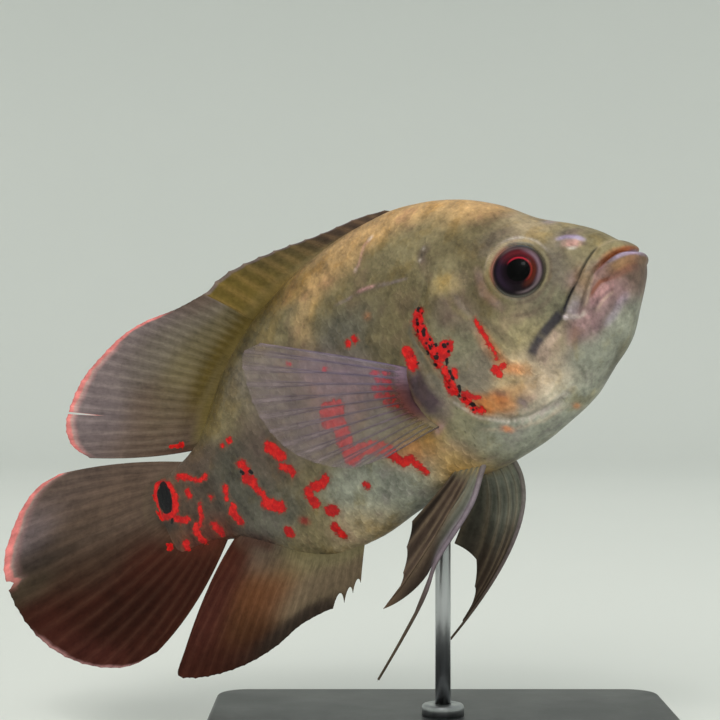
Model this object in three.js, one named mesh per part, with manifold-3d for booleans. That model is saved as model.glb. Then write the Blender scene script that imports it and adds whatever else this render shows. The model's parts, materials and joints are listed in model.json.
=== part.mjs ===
// Oscar fish, a still, life-size model of a sub-adult on a plain display stand. Millimetres, +Z up.
// The fish is first shaped straight: s runs back from the snout, y to its left, h up to its back.
// A gentle sideways bend and the display pose are laid on afterwards.
import * as THREE from "three";
import { mergeVertices } from "three/addons/utils/BufferGeometryUtils.js";
import Module from "manifold-3d";

const wasm = await Module();
wasm.setup();

// Driving dimensions
const gap = 0.3; // between neighbouring pieces
const snoutTip = 1.6; // s of the foremost point
const snoutLevel = -5; // its height
const stemEnd = 148.5; // s where the tail stem meets the caudal fin
const originS = 70; // s of the fish's own origin
const bendRadius = 950; // head and tail both curve gently to the fish's right
const pose = { pitch: 28, yaw: 20, roll: -6 }; // degrees: nose up, nose towards -Y, belly towards -Y
const fishCentre = { x: -8, y: 6.6, z: 100 }; // the fish's origin above the middle of the stand

// Body stations: s, top, bottom, half width, height of the widest level, fullness of the flanks above it
const stations = [
  [2.2, -2.6, -7.2, 3.0, -5.0, 0.8],
  [3.5, -0.4, -9.6, 4.9, -5.2, 0.8],
  [5.2, 2.0, -11.8, 6.2, -5.6, 0.82],
  [8.6, 6.8, -15.8, 7.9, -6.0, 0.86],
  [14, 12.0, -21.9, 9.8, -6.2, 0.9],
  [21, 17.6, -26.2, 11.6, -5.4, 0.94],
  [29, 26.3, -30.3, 13.3, -4.4, 0.98],
  [38, 33.2, -32.6, 15.0, -3.4, 1.02],
  [48, 38.0, -34.6, 16.2, -2.6, 1.06],
  [58, 40.6, -35.2, 16.7, -2.0, 1.1],
  [70, 41.2, -33.9, 16.0, -1.6, 1.12],
  [84, 39.7, -34.8, 14.6, -1.2, 1.12],
  [97, 36.2, -36.4, 12.5, -1.6, 1.1],
  [108, 31.6, -35.6, 10.5, -2.4, 1.08],
  [118, 25.2, -31.4, 8.6, -3.4, 1.05],
  [127, 16.6, -24.0, 6.8, -4.4, 1.02],
  [135, 9.8, -18.3, 5.4, -4.8, 1.0],
  [142, 7.4, -16.6, 4.3, -4.9, 1.0],
  [stemEnd, 6.8, -16.0, 3.0, -5.0, 1.0],
];
const bellyFullness = 0.98;
// Soft swellings and hollows of the flanks: s, height, reach along, reach up, lift outwards
const reliefs = [
  [28, 14, 8, 4, 0.7], // brow
  [19, 3, 5, 4, -0.5], // hollow before the eye
  [38, -12, 8, 8, 0.6], // cheek
  [44, 8, 4, 8, -0.4], // behind the eye
];

// Outlines on the flank, as s and height
const gape = [[2.2, -3.0], [4.7, -1.7], [8.5, -2.4], [12.4, -4.0], [16, -7.4], [21, -13.2]];
const jawAngle = [[23.5, -21], [25, -29]]; // behind the mouth's corner, down to the throat
const gillTop = [[49, 60], [49, 18]];
const gillRear = [[55, 9.5], [60.4, 3.2], [59.4, -5], [58.4, -13.5], [53.5, -22.8], [47.5, -28.2]];
const gillBelow = [[40, -29.4], [31, -27.6], [25.8, -24.6]];
const gillFront = [[30, -23.2], [36, -20.8], [40.6, -16.6], [43.2, -10], [44.2, 0], [46, 11], [48.4, 17.6]];
const stemCut = [[123, 60], [123, -60]];

// Head details
const eye = { s: 29.3, h: 5.0, radius: 6.8, depth: 3.2, sunk: 1.6, rimRadius: 7.1, rimThick: 0.95 };
const nostril = {
  s: 15.2,
  h: 6.0,
  length: 2.9,
  width: 1.35,
  thick: 0.6,
  tilt: -28,
  pitShare: 0.62,
  pitDepth: 1.0,
  pitLift: 0.3,
};
const gillPlate = { lift: 0.45, depth: 1.9, middle: 1.5 }; // stands proud, reaches in, keeps off the middle plane
const upperLip = {
  path: [[2.6, -1.3], [5.2, 0.1], [8.6, -0.3], [12, -2.0], [15.4, -5.0], [18.6, -8.8], [22, -12.6]],
  halfWidth: [1.5, 2.0, 1.0],
  lift: 1.0,
};
const lowerLip = {
  path: [[2.2, -4.9], [5.0, -4.0], [8.4, -4.7], [11.2, -6.0], [14, -8.4], [17, -11.8], [20.4, -15.4]],
  halfWidth: [1.7, 1.7, 0.9],
  lift: 1.1,
};

// Median fins, as s and height: the roots of the rays, sunk in the body, the line of their tips,
// the half thickness at the root, how far out the scaly sheath thickens the fin, how far the first and
// last rays bow upwards half-way out, how far the margin sways sideways, and how far out the web
// between two spines reaches
const fins = {
  dorsalSpiny: {
    rays: 12,
    rows: 3,
    sheath: 0.5,
    webReach: 0.84,
    root: [[55, 38.6], [70, 39.2], [84, 37.6], [96, 34.6], [103.4, 31.8]],
    tips: [[58.5, 41.4], [66, 43.4], [78, 45.0], [90, 47.3], [102, 48.8], [108.5, 48.7], [114.2, 46.9]],
    rootHalf: 1.3,
    bow: [0, 0.6],
  },
  dorsalSoft: {
    rays: 16,
    rows: 5,
    sheath: 0.3,
    sway: { size: 2.2, turns: 0.7, phase: 0 },
    root: [[103.9, 31.6], [113, 26.6], [121, 20.2], [128, 13.4], [133.6, 8.6]],
    tips: [
      [114.8, 46.8], [124, 47.4], [135, 49.1], [142.5, 48.7], [150.5, 46.2], [157.5, 42.9],
      [163, 38], [167, 32.3], [167.2, 26.3], [163.6, 20.6],
    ],
    rootHalf: 1.2,
    bow: [0.6, -1.0],
  },
  anal: {
    rays: 16,
    rows: 4,
    sheath: 0.35,
    sway: { size: 1.6, turns: 0.8, phase: 0.1 },
    root: [[101.4, -34.6], [110, -33], [119, -28.8], [126.4, -22.4], [132.4, -17]],
    tips: [
      [107.6, -44.2], [114.4, -46.9], [121, -46.6], [128, -47], [136, -49.2], [145, -50.1],
      [154, -49.1], [160.8, -47], [164.3, -44.6], [161, -40.6],
    ],
    rootHalf: 1.2,
    bow: [0, 1.6],
  },
  caudal: {
    rays: 16,
    rows: 5,
    sheath: 0.4,
    sway: { size: 2.4, turns: 0.9, phase: 0.05 },
    root: [[136.2, 5.4], [144.2, 3.2], [146.6, -4.6], [144.2, -11.8], [134.6, -15.4]],
    tips: [
      [175, 21.5], [182.4, 21.3], [189.4, 18.2], [195.3, 13.1], [199.7, 7.6], [201.6, 1.2],
      [200.8, -8], [197.6, -17.8], [192.2, -26], [184.5, -32.7], [176, -36.4], [167.6, -36.2],
    ],
    rootHalf: 2.2,
    bow: [1.6, -2.4],
  },
};
const rayHalf = 0.55; // half thickness of a fin at a ray
const webHalf = 0.27; // and of the membrane between rays
const tipHalf = 0.22; // and at the margin
const rayWidth = 0.55; // from a ray's crest to its foot, along the fin
const spinyWeb = 0.6; // where, from one spine to the next, the web is cut back furthest

// Pectoral fin in its own plane: back from the root, and height
const pectoral = {
  hinge: { s: 65.2, y: 16.4 },
  swing: 24, // degrees away from the flank
  rays: 12,
  rows: 4,
  sheath: 0.2,
  cup: 1.6,
  root: [[-2.4, -6.4], [-2.6, -13], [-2.8, -19.6]],
  tips: [
    [33, 17.2], [38.4, 16.4], [40.6, 9], [41.2, 2], [40.2, -5], [37.4, -11.8], [32.2, -17.6],
    [25, -22], [15.6, -23.2],
  ],
  rootHalf: 1.4,
};
// Pelvic fins: root line, then the tip of each ray, as s, outward distance and height, how far the
// first and last rays bow forwards, and where the web leaves the long first ray
const pelvicShape = { rows: 7, rootHalf: 1.0, sheath: 0.15, firstWeb: 0.3, web: 0.5, webReach: 0.9 };
const pelvics = {
  right: {
    root: [[61.4, 4.4, -32.2], [68, 5.6, -30.8]],
    tips: [
      [108.6, 16, -71.3], [100.2, 13, -55.2], [95, 12.5, -53], [91.6, 12, -49.2], [87.6, 11.4, -43],
      [83.6, 10.2, -37.6],
    ],
    bow: [0.6, 0.4],
    notch: 0.46,
  },
  left: {
    root: [[57, 4.2, -33.4], [64.6, 5.4, -31.4]],
    tips: [
      [97, 16, -66.4], [88, 14.4, -60.6], [82, 13, -56.4], [79, 11.6, -51.8], [79.4, 10, -46.6],
      [78.6, 8, -42.6],
    ],
    bow: [10.8, 1.6],
    notch: 0.74,
  },
};

// Display stand
const base = { length: 122, width: 84, height: 10, corner: 9, bevel: 1.2 };
const rod = { diameter: 4, top: 90 };
const collar = { radius: 5.5, height: 3 };

// Materials
function skinMaterial(color, roughness = 0.42) {
  return new THREE.MeshStandardMaterial({ color, roughness, metalness: 0 });
}
const materials = {
  head: skinMaterial(0x8b8560),
  jaw: skinMaterial(0xa19a84),
  gillCover: skinMaterial(0x86805c),
  body: skinMaterial(0x7a7352),
  dorsal: skinMaterial(0x5f5145, 0.5),
  caudal: skinMaterial(0x4d2c24, 0.5),
  anal: skinMaterial(0x5a2f25, 0.5),
  pectoral: skinMaterial(0x6f6070, 0.5),
  pelvic: skinMaterial(0x2f2a2a, 0.5),
  eye: skinMaterial(0x3a0f12, 0.08),
  base: new THREE.MeshStandardMaterial({ color: 0x222426, roughness: 0.45, metalness: 0 }),
  steel: new THREE.MeshStandardMaterial({ color: 0xb9bcc0, roughness: 0.3, metalness: 1 }),
};

// A cubic through knots [x, value] that never overshoots them.
function monotoneCurve(knots) {
  const slopes = knots.map((_, i) => {
    if (i === 0 || i === knots.length - 1) {
      const j = Math.max(0, Math.min(i, knots.length - 2));
      return (knots[j + 1][1] - knots[j][1]) / (knots[j + 1][0] - knots[j][0]);
    }
    const before = (knots[i][1] - knots[i - 1][1]) / (knots[i][0] - knots[i - 1][0]);
    const after = (knots[i + 1][1] - knots[i][1]) / (knots[i + 1][0] - knots[i][0]);
    return before * after > 0 ? (2 * before * after) / (before + after) : 0;
  });
  return (x) => {
    let i = 0;
    while (i < knots.length - 2 && x > knots[i + 1][0]) i++;
    const [x0, v0] = knots[i];
    const [x1, v1] = knots[i + 1];
    const width = x1 - x0;
    const t = THREE.MathUtils.clamp((x - x0) / width, 0, 1);
    const rise = t * t * (3 - 2 * t);
    return (
      v0 * (1 - rise) +
      v1 * rise +
      width * t * (1 - t) * (slopes[i] * (1 - t) - slopes[i + 1] * t)
    );
  };
}

// Body measures run over the root of the distance from the snout tip, which rounds the muzzle.
const stationRoot = (s) => Math.sqrt(Math.max(0, s - snoutTip));
const bluntStart = [snoutTip, snoutLevel, snoutLevel, 0, snoutLevel, stations[0][5]];
const measure = [1, 2, 3, 4, 5].map((column) =>
  monotoneCurve([bluntStart, ...stations].map((row) => [stationRoot(row[0]), row[column]])),
);

function sectionAt(s) {
  const [top, bottom, half, widest, fullness] = measure.map((curve) => curve(stationRoot(s)));
  return { top, bottom, half, widest, fullness };
}

function reliefAt(s, h) {
  let lift = 0;
  for (const [atS, atH, alongS, alongH, rise] of reliefs) {
    lift += rise * Math.exp(-(((s - atS) / alongS) ** 2) - ((h - atH) / alongH) ** 2);
  }
  return lift;
}

// Distance of the flank from the middle plane at s and height h, on a body swollen all round.
function flankAt(s, h, swell = 0) {
  const { top, bottom, half, widest, fullness } = sectionAt(s);
  const above = h > widest;
  const reach = above ? top + swell - widest : widest - bottom + swell;
  const side = Math.sqrt(Math.max(0, 1 - ((h - widest) / reach) ** 2));
  const full = Math.max(0.15, half + swell);
  return full * side ** (above ? fullness : bellyFullness) + reliefAt(s, h) * side;
}

function flankPoint(s, h, side) {
  return new THREE.Vector3(originS - s, side * flankAt(s, h), h);
}

function flankNormal(s, h, side) {
  const step = 0.5;
  const along = flankPoint(s - step, h, side).sub(flankPoint(s + step, h, side));
  const up = flankPoint(s, h + step, side).sub(flankPoint(s, h - step, side));
  const normal = along.cross(up).normalize();
  return normal.y * side < 0 ? normal.negate() : normal;
}

// Solids
function solidOf(geometry) {
  const bare = geometry.clone();
  bare.deleteAttribute("normal");
  bare.deleteAttribute("uv");
  const merged = mergeVertices(bare, 1e-4);
  return new wasm.Manifold(
    new wasm.Mesh({
      numProp: 3,
      vertProperties: merged.attributes.position.array,
      triVerts: new Uint32Array(merged.index.array),
    }),
  );
}

function geometryOf(solid) {
  const mesh = solid.getMesh();
  const geometry = new THREE.BufferGeometry();
  const points = new Float32Array(mesh.numVert * 3);
  for (let i = 0; i < mesh.numVert; i++) {
    points.set(mesh.vertProperties.subarray(i * mesh.numProp, i * mesh.numProp + 3), i * 3);
  }
  geometry.setAttribute("position", new THREE.BufferAttribute(points, 3));
  geometry.setIndex(new THREE.BufferAttribute(mesh.triVerts, 1));
  return geometry;
}

function largestPiece(solid) {
  return solid.decompose().reduce((best, piece) => (piece.volume() > best.volume() ? piece : best));
}

function signedVolume(points, faces) {
  let volume = 0;
  for (const [a, b, c] of faces) {
    volume += points[a].dot(points[b].clone().cross(points[c])) / 6;
  }
  return volume;
}

function solidFrom(points, faces) {
  const outward = signedVolume(points, faces) > 0 ? faces : faces.map(([a, b, c]) => [a, c, b]);
  const geometry = new THREE.BufferGeometry().setFromPoints(points);
  geometry.setIndex(outward.flat());
  return solidOf(geometry);
}

// Rings of equally many points, closed with a point at each end
function loft(rings, firstPoint, lastPoint) {
  const around = rings[0].length;
  const points = [firstPoint, ...rings.flat(), lastPoint];
  const at = (ring, j) => 1 + ring * around + (j % around);
  const faces = [];
  for (let j = 0; j < around; j++) {
    faces.push([0, at(0, j + 1), at(0, j)]);
    faces.push([points.length - 1, at(rings.length - 1, j), at(rings.length - 1, j + 1)]);
    for (let i = 0; i < rings.length - 1; i++) {
      faces.push([at(i, j), at(i, j + 1), at(i + 1, j + 1)], [at(i, j), at(i + 1, j + 1), at(i + 1, j)]);
    }
  }
  return solidFrom(points, faces);
}

const bodyRows = 44;
const bodyAround = 32;
function bodySolid(swell = 0, rows = bodyRows, around = bodyAround) {
  const rings = [];
  const length = stemEnd - snoutTip;
  for (let i = 1; i <= rows; i++) {
    const s = snoutTip + length * (i / rows) ** 1.3;
    const { top, bottom, widest } = sectionAt(s);
    const x = originS - (i === rows ? s + swell : s);
    const ring = [];
    for (let j = 0; j < around; j++) {
      const angle = (2 * Math.PI * j) / around;
      const up = Math.cos(angle);
      const h = widest + up * (up > 0 ? top + swell - widest : widest - bottom + swell);
      const side = Math.abs(Math.sin(angle)) < 1e-9 ? 0 : Math.sign(Math.sin(angle));
      ring.push(new THREE.Vector3(x, side * flankAt(s, h, swell), h));
    }
    rings.push(ring);
  }
  const tip = new THREE.Vector3(originS - snoutTip + swell, 0, snoutLevel);
  const end = new THREE.Vector3(originS - stemEnd - swell, 0, sectionAt(stemEnd).widest);
  return loft(rings, tip, end);
}

// A closed outline on the flank, grown by some distance and run across the body from y0 to y1
const farSide = 40;
const farAway = 170;
function outlineSolid(outline, grow, y0 = -farSide, y1 = farSide) {
  const points = outline.map(([s, h]) => new THREE.Vector2(originS - s, h));
  const turn = THREE.ShapeUtils.area(points) > 0 ? 1 : -1;
  const grown = points.map((point, i) => {
    const before = points[(i + points.length - 1) % points.length];
    const after = points[(i + 1) % points.length];
    const first = point.clone().sub(before).normalize();
    const second = after.clone().sub(point).normalize();
    const normal = new THREE.Vector2(first.y + second.y, -first.x - second.x).normalize();
    const miter = Math.max(0.5, Math.sqrt((1 + first.dot(second)) / 2));
    return point.clone().addScaledVector(normal, (turn * grow) / miter);
  });
  const shape = new THREE.Shape(grown);
  const geometry = new THREE.ExtrudeGeometry(shape, { depth: y1 - y0, bevelEnabled: false });
  geometry.rotateX(Math.PI / 2);
  geometry.translate(0, y1, 0);
  return solidOf(geometry);
}

// A smooth open line through points of any size, at a share of its length
function smoothLine(points) {
  const curve = new THREE.CatmullRomCurve3(
    points.map(([a, b, c = 0]) => new THREE.Vector3(a, b, c)),
    false,
    "centripetal",
  );
  curve.arcLengthDivisions = 400;
  return (share) => curve.getPointAt(THREE.MathUtils.clamp(share, 0, 1));
}

function smoothOutline(points, count) {
  const line = smoothLine(points);
  return Array.from({ length: count + 1 }, (_, i) => {
    const point = line(i / count);
    return [point.x, point.y];
  });
}

// A lip: a roll that runs round the muzzle from one corner of the mouth to the other
const lipRows = 14;
const lipAround = 8;
const lipSunk = 0.25; // the roll's middle lies this far under the skin
function lipSolid({ path, halfWidth, lift }) {
  const line = smoothLine(path);
  const width = monotoneCurve([[0, halfWidth[0]], [0.45, halfWidth[1]], [1, halfWidth[2]]]);
  const spine = [];
  for (let i = -lipRows; i <= lipRows; i++) {
    const share = Math.abs(i) / lipRows;
    const { x: s, y: h } = line(share);
    const side = i < 0 ? -1 : 1;
    const middle = flankPoint(s, h, side);
    middle.y *= THREE.MathUtils.smoothstep(share, 0, 0.06);
    spine.push({ middle, share, s, h, side });
  }
  const rings = spine.map(({ middle, share, s, h, side }, i) => {
    const next = spine[Math.min(i + 1, spine.length - 1)].middle;
    const previous = spine[Math.max(i - 1, 0)].middle;
    const along = next.clone().sub(previous).normalize();
    const front = new THREE.Vector3(1, 0, 0);
    const outward = flankNormal(s, h, side).lerp(front, 1 - THREE.MathUtils.smoothstep(share, 0, 0.25));
    outward.addScaledVector(along, -outward.dot(along)).normalize();
    const across = along.clone().cross(outward);
    const taper = Math.sqrt(Math.max(0.04, 1 - share ** 8));
    return Array.from({ length: lipAround }, (_, j) => {
      const angle = (2 * Math.PI * j) / lipAround;
      return middle
        .clone()
        .addScaledVector(outward, lift * taper * Math.cos(angle) - lipSunk)
        .addScaledVector(across, width(share) * taper * Math.sin(angle));
    });
  });
  const ends = [spine[0], spine[spine.length - 1]].map(({ middle, s, h, side }) =>
    middle.clone().addScaledVector(flankNormal(s, h, side), -lipSunk),
  );
  return loft(rings, ends[0], ends[1]);
}

function facingOut(geometry, s, h, side, lift) {
  const normal = flankNormal(s, h, side);
  geometry.applyQuaternion(
    new THREE.Quaternion().setFromUnitVectors(new THREE.Vector3(0, side, 0), normal),
  );
  const place = flankPoint(s, h, side).addScaledVector(normal, lift);
  return geometry.translate(place.x, place.y, place.z);
}

function eyeBall(side, swell = 0) {
  const { s, h, radius, depth, sunk } = eye;
  const geometry = new THREE.SphereGeometry(1, 18, 8);
  geometry.scale(radius + swell, depth + swell, radius + swell);
  return solidOf(facingOut(geometry, s, h, side, -sunk));
}

function eyeRim(side) {
  const geometry = new THREE.TorusGeometry(eye.rimRadius, eye.rimThick, 5, 20);
  geometry.rotateX(Math.PI / 2);
  return solidOf(facingOut(geometry, eye.s, eye.h, side, 0));
}

function nostrilRing(side) {
  const { length, width, thick } = nostril;
  const geometry = new THREE.TorusGeometry(1, thick / width, 5, 12);
  geometry.scale(length, width, width);
  geometry.rotateZ(THREE.MathUtils.degToRad(nostril.tilt));
  geometry.rotateX(Math.PI / 2);
  return solidOf(facingOut(geometry, nostril.s, nostril.h, side, 0));
}

function nostrilPit(side) {
  const { length, width, pitShare, pitDepth, pitLift } = nostril;
  const geometry = new THREE.SphereGeometry(1, 10, 5);
  geometry.scale(length * pitShare, pitDepth, width * pitShare);
  geometry.rotateY(THREE.MathUtils.degToRad(-nostril.tilt));
  return solidOf(facingOut(geometry, nostril.s, nostril.h, side, pitLift));
}

// A fin: each ray is a ridge with a foot on either side, and the web runs from foot to foot. Both faces
// share one grid and its diagonals. point(k, share) lies a share of the way out along ray k.
function finSolid({ rays, rows, point, outward, rootHalf, sheath, webAt = () => null }) {
  const footStep = (k, share) => {
    const spacing = point(k + 0.1, share).distanceTo(point(k - 0.1, share)) / 0.2;
    return Math.min(0.32, rayWidth / spacing);
  };
  const columns = [];
  for (let k = 0; k < rays; k++) {
    if (k > 0) columns.push({ place: (share) => k - footStep(k, share), half: webHalf });
    columns.push({ place: () => k, half: rayHalf });
    if (k < rays - 1) columns.push({ place: (share) => k + footStep(k, share), half: webHalf });
    const web = k < rays - 1 && webAt(k);
    if (web) columns.push({ place: () => k + web.at, half: webHalf, reach: web.reach });
  }
  const points = [];
  const grid = columns.map(({ place, half, reach = 1 }) =>
    Array.from({ length: rows + 1 }, (_, r) => {
      const share = (reach * r) / rows;
      const k = place(share);
      const normal = outward(k, share);
      const sheathHalf = rootHalf * (1 - THREE.MathUtils.smoothstep(share, 0, sheath));
      const thick = Math.max(sheathHalf, THREE.MathUtils.lerp(half, tipHalf, share * share));
      points.push(point(k, share).addScaledVector(normal, thick));
      points.push(point(k, share).addScaledVector(normal, -thick));
      return points.length - 2;
    }),
  );
  const faces = [];
  const quad = (a, b, c, d) => faces.push([a, b, c], [a, c, d]);
  const lastColumn = columns.length - 1;
  for (let c = 0; c < lastColumn; c++) {
    for (let r = 0; r < rows; r++) {
      const [a, b, d, e] = [grid[c][r], grid[c + 1][r], grid[c + 1][r + 1], grid[c][r + 1]];
      quad(a, b, d, e);
      faces.push([a + 1, d + 1, b + 1], [a + 1, e + 1, d + 1]);
    }
    quad(grid[c][0] + 1, grid[c + 1][0] + 1, grid[c + 1][0], grid[c][0]);
    quad(grid[c][rows], grid[c + 1][rows], grid[c + 1][rows] + 1, grid[c][rows] + 1);
  }
  for (let r = 0; r < rows; r++) {
    quad(grid[0][r], grid[0][r + 1], grid[0][r + 1] + 1, grid[0][r] + 1);
    const edge = grid[lastColumn];
    quad(edge[r] + 1, edge[r + 1] + 1, edge[r + 1], edge[r]);
  }
  return solidFrom(points, faces);
}

function medianFin({ rays, rows, sheath, root, tips, rootHalf, bow, sway, webReach }) {
  const rootLine = smoothLine(root);
  const tipLine = smoothLine(tips);
  return finSolid({
    rays,
    rows,
    rootHalf,
    sheath,
    point: (k, share) => {
      const t = k / (rays - 1);
      const { x: s, y: h } = rootLine(t).lerp(tipLine(t), share);
      const rise = 4 * share * (1 - share) * THREE.MathUtils.lerp(bow[0], bow[1], t);
      const swing = sway ? sway.size * share ** 2 * Math.sin(2 * Math.PI * (sway.turns * t + sway.phase)) : 0;
      return new THREE.Vector3(originS - s, swing, h + rise);
    },
    outward: () => new THREE.Vector3(0, 1, 0),
    webAt: () => webReach && { at: spinyWeb, reach: webReach },
  });
}

function pectoralFin(side) {
  const { hinge, swing, rays, rows, sheath, cup, root, tips, rootHalf } = pectoral;
  const rootLine = smoothLine(root);
  const tipLine = smoothLine(tips);
  const angle = THREE.MathUtils.degToRad(swing);
  const back = new THREE.Vector3(-Math.cos(angle), side * Math.sin(angle), 0);
  const outward = new THREE.Vector3(Math.sin(angle), side * Math.cos(angle), 0);
  return finSolid({
    rays,
    rows,
    rootHalf,
    sheath,
    point: (k, share) => {
      const t = k / (rays - 1);
      const { x: reach, y: h } = rootLine(t).lerp(tipLine(t), share);
      return new THREE.Vector3(originS - hinge.s, side * hinge.y, h)
        .addScaledVector(back, reach)
        .addScaledVector(outward, cup * Math.sin(Math.PI * share) * (0.5 - t));
    },
    outward: () => outward,
  });
}

function pelvicFin({ root, tips, bow, notch }, side) {
  const { rows, rootHalf, sheath, firstWeb, web, webReach } = pelvicShape;
  const place = ([s, y, h]) => new THREE.Vector3(originS - s, side * y, h);
  const [front, rear] = root.map(place);
  const ends = tips.map(place);
  const last = ends.length - 1;
  const point = (k, share) => {
    const first = THREE.MathUtils.clamp(Math.floor(k), 0, last - 1);
    const end = ends[first].clone().lerp(ends[first + 1], k - first);
    const along = front.clone().lerp(rear, k / last).lerp(end, share);
    along.x += 4 * share * (1 - share) * THREE.MathUtils.lerp(bow[0], bow[1], k / last);
    return along;
  };
  return finSolid({
    rays: ends.length,
    rows,
    rootHalf,
    sheath,
    point,
    outward: (k, share) => {
      const across = point(k + 0.1, share + 0.02).sub(point(k - 0.1, share + 0.02));
      const along = point(k, share + 0.04).sub(point(k, share));
      const normal = across.cross(along).normalize();
      return normal.y * side < 0 ? normal.negate() : normal;
    },
    webAt: (k) => (k === 0 ? { at: firstWeb, reach: notch } : { at: web, reach: webReach }),
  });
}

// The fish, straight
const whole = bodySolid();
const clear = bodySolid(gap);
const gillOutline = [...smoothOutline([gillTop[1], ...gillRear, ...gillBelow], 22), ...smoothOutline(gillFront, 12)];
const rearEdge = [[farAway, -60], [farAway, 60]];
const trunkOutline = [gillTop[0], ...smoothOutline([gillTop[1], ...gillRear], 20), [45, -60], ...rearEdge];
const stemOutline = [...stemCut, ...rearEdge];
const gapeLine = smoothOutline(gape, 14);
const jawOutline = [[-6, -4.4], ...gapeLine, ...jawAngle, [25, -60], [-6, -60]];

function gillLayer(side, outer, inner, grow) {
  const near = gillPlate.middle - grow;
  const sides = side < 0 ? [-farSide, -near] : [near, farSide];
  return outlineSolid(gillOutline, grow, ...sides).intersect(outer).subtract(inner);
}

const pieces = {};
const coarse = [24, 20]; // rows and points around of the bodies that only cut
const plateOuter = bodySolid(gillPlate.lift);
const plateInner = bodySolid(-gillPlate.depth, ...coarse);
const plateBed = bodySolid(-gillPlate.depth - gap, ...coarse);
const wellOutside = bodySolid(2, ...coarse);
const gillBeds = [-1, 1].map((side) => gillLayer(side, wellOutside, plateBed, gap));
let head = whole
  .subtract(outlineSolid(trunkOutline, gap))
  .add(lipSolid(upperLip))
  .subtract(outlineSolid(jawOutline, gap))
  .subtract(gillBeds[0])
  .subtract(gillBeds[1]);
for (const side of [-1, 1]) {
  const name = side < 0 ? "right" : "left";
  head = head.add(eyeRim(side)).subtract(eyeBall(side, gap));
  head = head.add(nostrilRing(side)).subtract(nostrilPit(side));
  pieces["gill_cover_" + name] = [gillLayer(side, plateOuter, plateInner, 0), materials.gillCover];
  pieces["eye_" + name] = [eyeBall(side), materials.eye];
}
pieces.head = [head, materials.head];
pieces.lower_jaw = [
  whole.add(lipSolid(lowerLip)).intersect(outlineSolid(jawOutline, 0)),
  materials.jaw,
];
pieces.trunk = [
  whole
    .intersect(outlineSolid(trunkOutline, 0))
    .subtract(outlineSolid(stemOutline, gap))
    .subtract(gillBeds[0])
    .subtract(gillBeds[1]),
  materials.body,
];
pieces.tail_stem = [whole.intersect(outlineSolid(stemOutline, 0)), materials.body];

const medianFins = [
  ["dorsal_fin_spiny", fins.dorsalSpiny, materials.dorsal],
  ["dorsal_fin_soft", fins.dorsalSoft, materials.dorsal],
  ["anal_fin", fins.anal, materials.anal],
  ["caudal_fin", fins.caudal, materials.caudal],
];
for (const [name, fin, material] of medianFins) {
  pieces[name] = [medianFin(fin).subtract(clear), material];
}
for (const side of [-1, 1]) {
  const name = side < 0 ? "right" : "left";
  pieces["pectoral_fin_" + name] = [pectoralFin(side).subtract(clear), materials.pectoral];
  pieces["pelvic_fin_" + name] = [pelvicFin(pelvics[name], side).subtract(clear), materials.pelvic];
}

// The bend and the pose
function bend(geometry) {
  const position = geometry.attributes.position;
  for (let i = 0; i < position.count; i++) {
    const angle = position.getX(i) / bendRadius;
    const radius = bendRadius + position.getY(i);
    position.setX(i, radius * Math.sin(angle));
    position.setY(i, radius * Math.cos(angle) - bendRadius);
  }
  return geometry;
}

const fish = new THREE.Group();
fish.rotation.set(
  THREE.MathUtils.degToRad(pose.roll),
  THREE.MathUtils.degToRad(-pose.pitch),
  THREE.MathUtils.degToRad(-pose.yaw),
  "ZYX",
);
fish.position.copy(fishCentre);
for (const [name, [solid, material]] of Object.entries(pieces)) {
  const mesh = new THREE.Mesh(bend(geometryOf(largestPiece(solid))), material);
  mesh.name = name;
  fish.add(mesh);
}

// The stand
const stand = new THREE.Group();

function standBase() {
  const { length, width, height, corner, bevel } = base;
  const [x, y, r] = [length / 2 - bevel, width / 2 - bevel, corner - bevel];
  const shape = new THREE.Shape();
  shape.moveTo(x - r, -y);
  shape.absarc(x - r, r - y, r, -Math.PI / 2, 0);
  shape.absarc(x - r, y - r, r, 0, Math.PI / 2);
  shape.absarc(r - x, y - r, r, Math.PI / 2, Math.PI);
  shape.absarc(r - x, r - y, r, Math.PI, 1.5 * Math.PI);
  shape.closePath();
  const geometry = new THREE.ExtrudeGeometry(shape, {
    depth: height - 2 * bevel,
    curveSegments: 5,
    bevelThickness: bevel,
    bevelSize: bevel,
    bevelSegments: 1,
  });
  return solidOf(geometry.translate(0, 0, bevel));
}

function standRod() {
  const length = rod.top - base.height - gap;
  const cylinder = new THREE.CylinderGeometry(rod.diameter / 2, rod.diameter / 2, length, 20);
  cylinder.rotateX(Math.PI / 2).translate(0, 0, base.height + gap + length / 2);
  fish.updateMatrix();
  const body = bend(geometryOf(clear)).applyMatrix4(fish.matrix);
  return largestPiece(solidOf(cylinder).subtract(solidOf(body)));
}

function standCollar() {
  const inner = rod.diameter / 2 + gap;
  const low = base.height + gap;
  const profile = [
    [inner, low], [collar.radius, low], [collar.radius, low + collar.height - 1],
    [collar.radius - 1, low + collar.height], [inner, low + collar.height], [inner, low],
  ].map(([r, z]) => new THREE.Vector2(r, z));
  return solidOf(new THREE.LatheGeometry(profile, 18).rotateX(Math.PI / 2));
}

const standPieces = [
  ["stand_base", standBase(), materials.base],
  ["stand_rod", standRod(), materials.steel],
  ["stand_collar", standCollar(), materials.steel],
];
for (const [name, solid, material] of standPieces) {
  const mesh = new THREE.Mesh(geometryOf(solid), material);
  mesh.name = name;
  stand.add(mesh);
}

const model = new THREE.Group();
model.add(fish, stand);

export default model;
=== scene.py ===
import math

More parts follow.
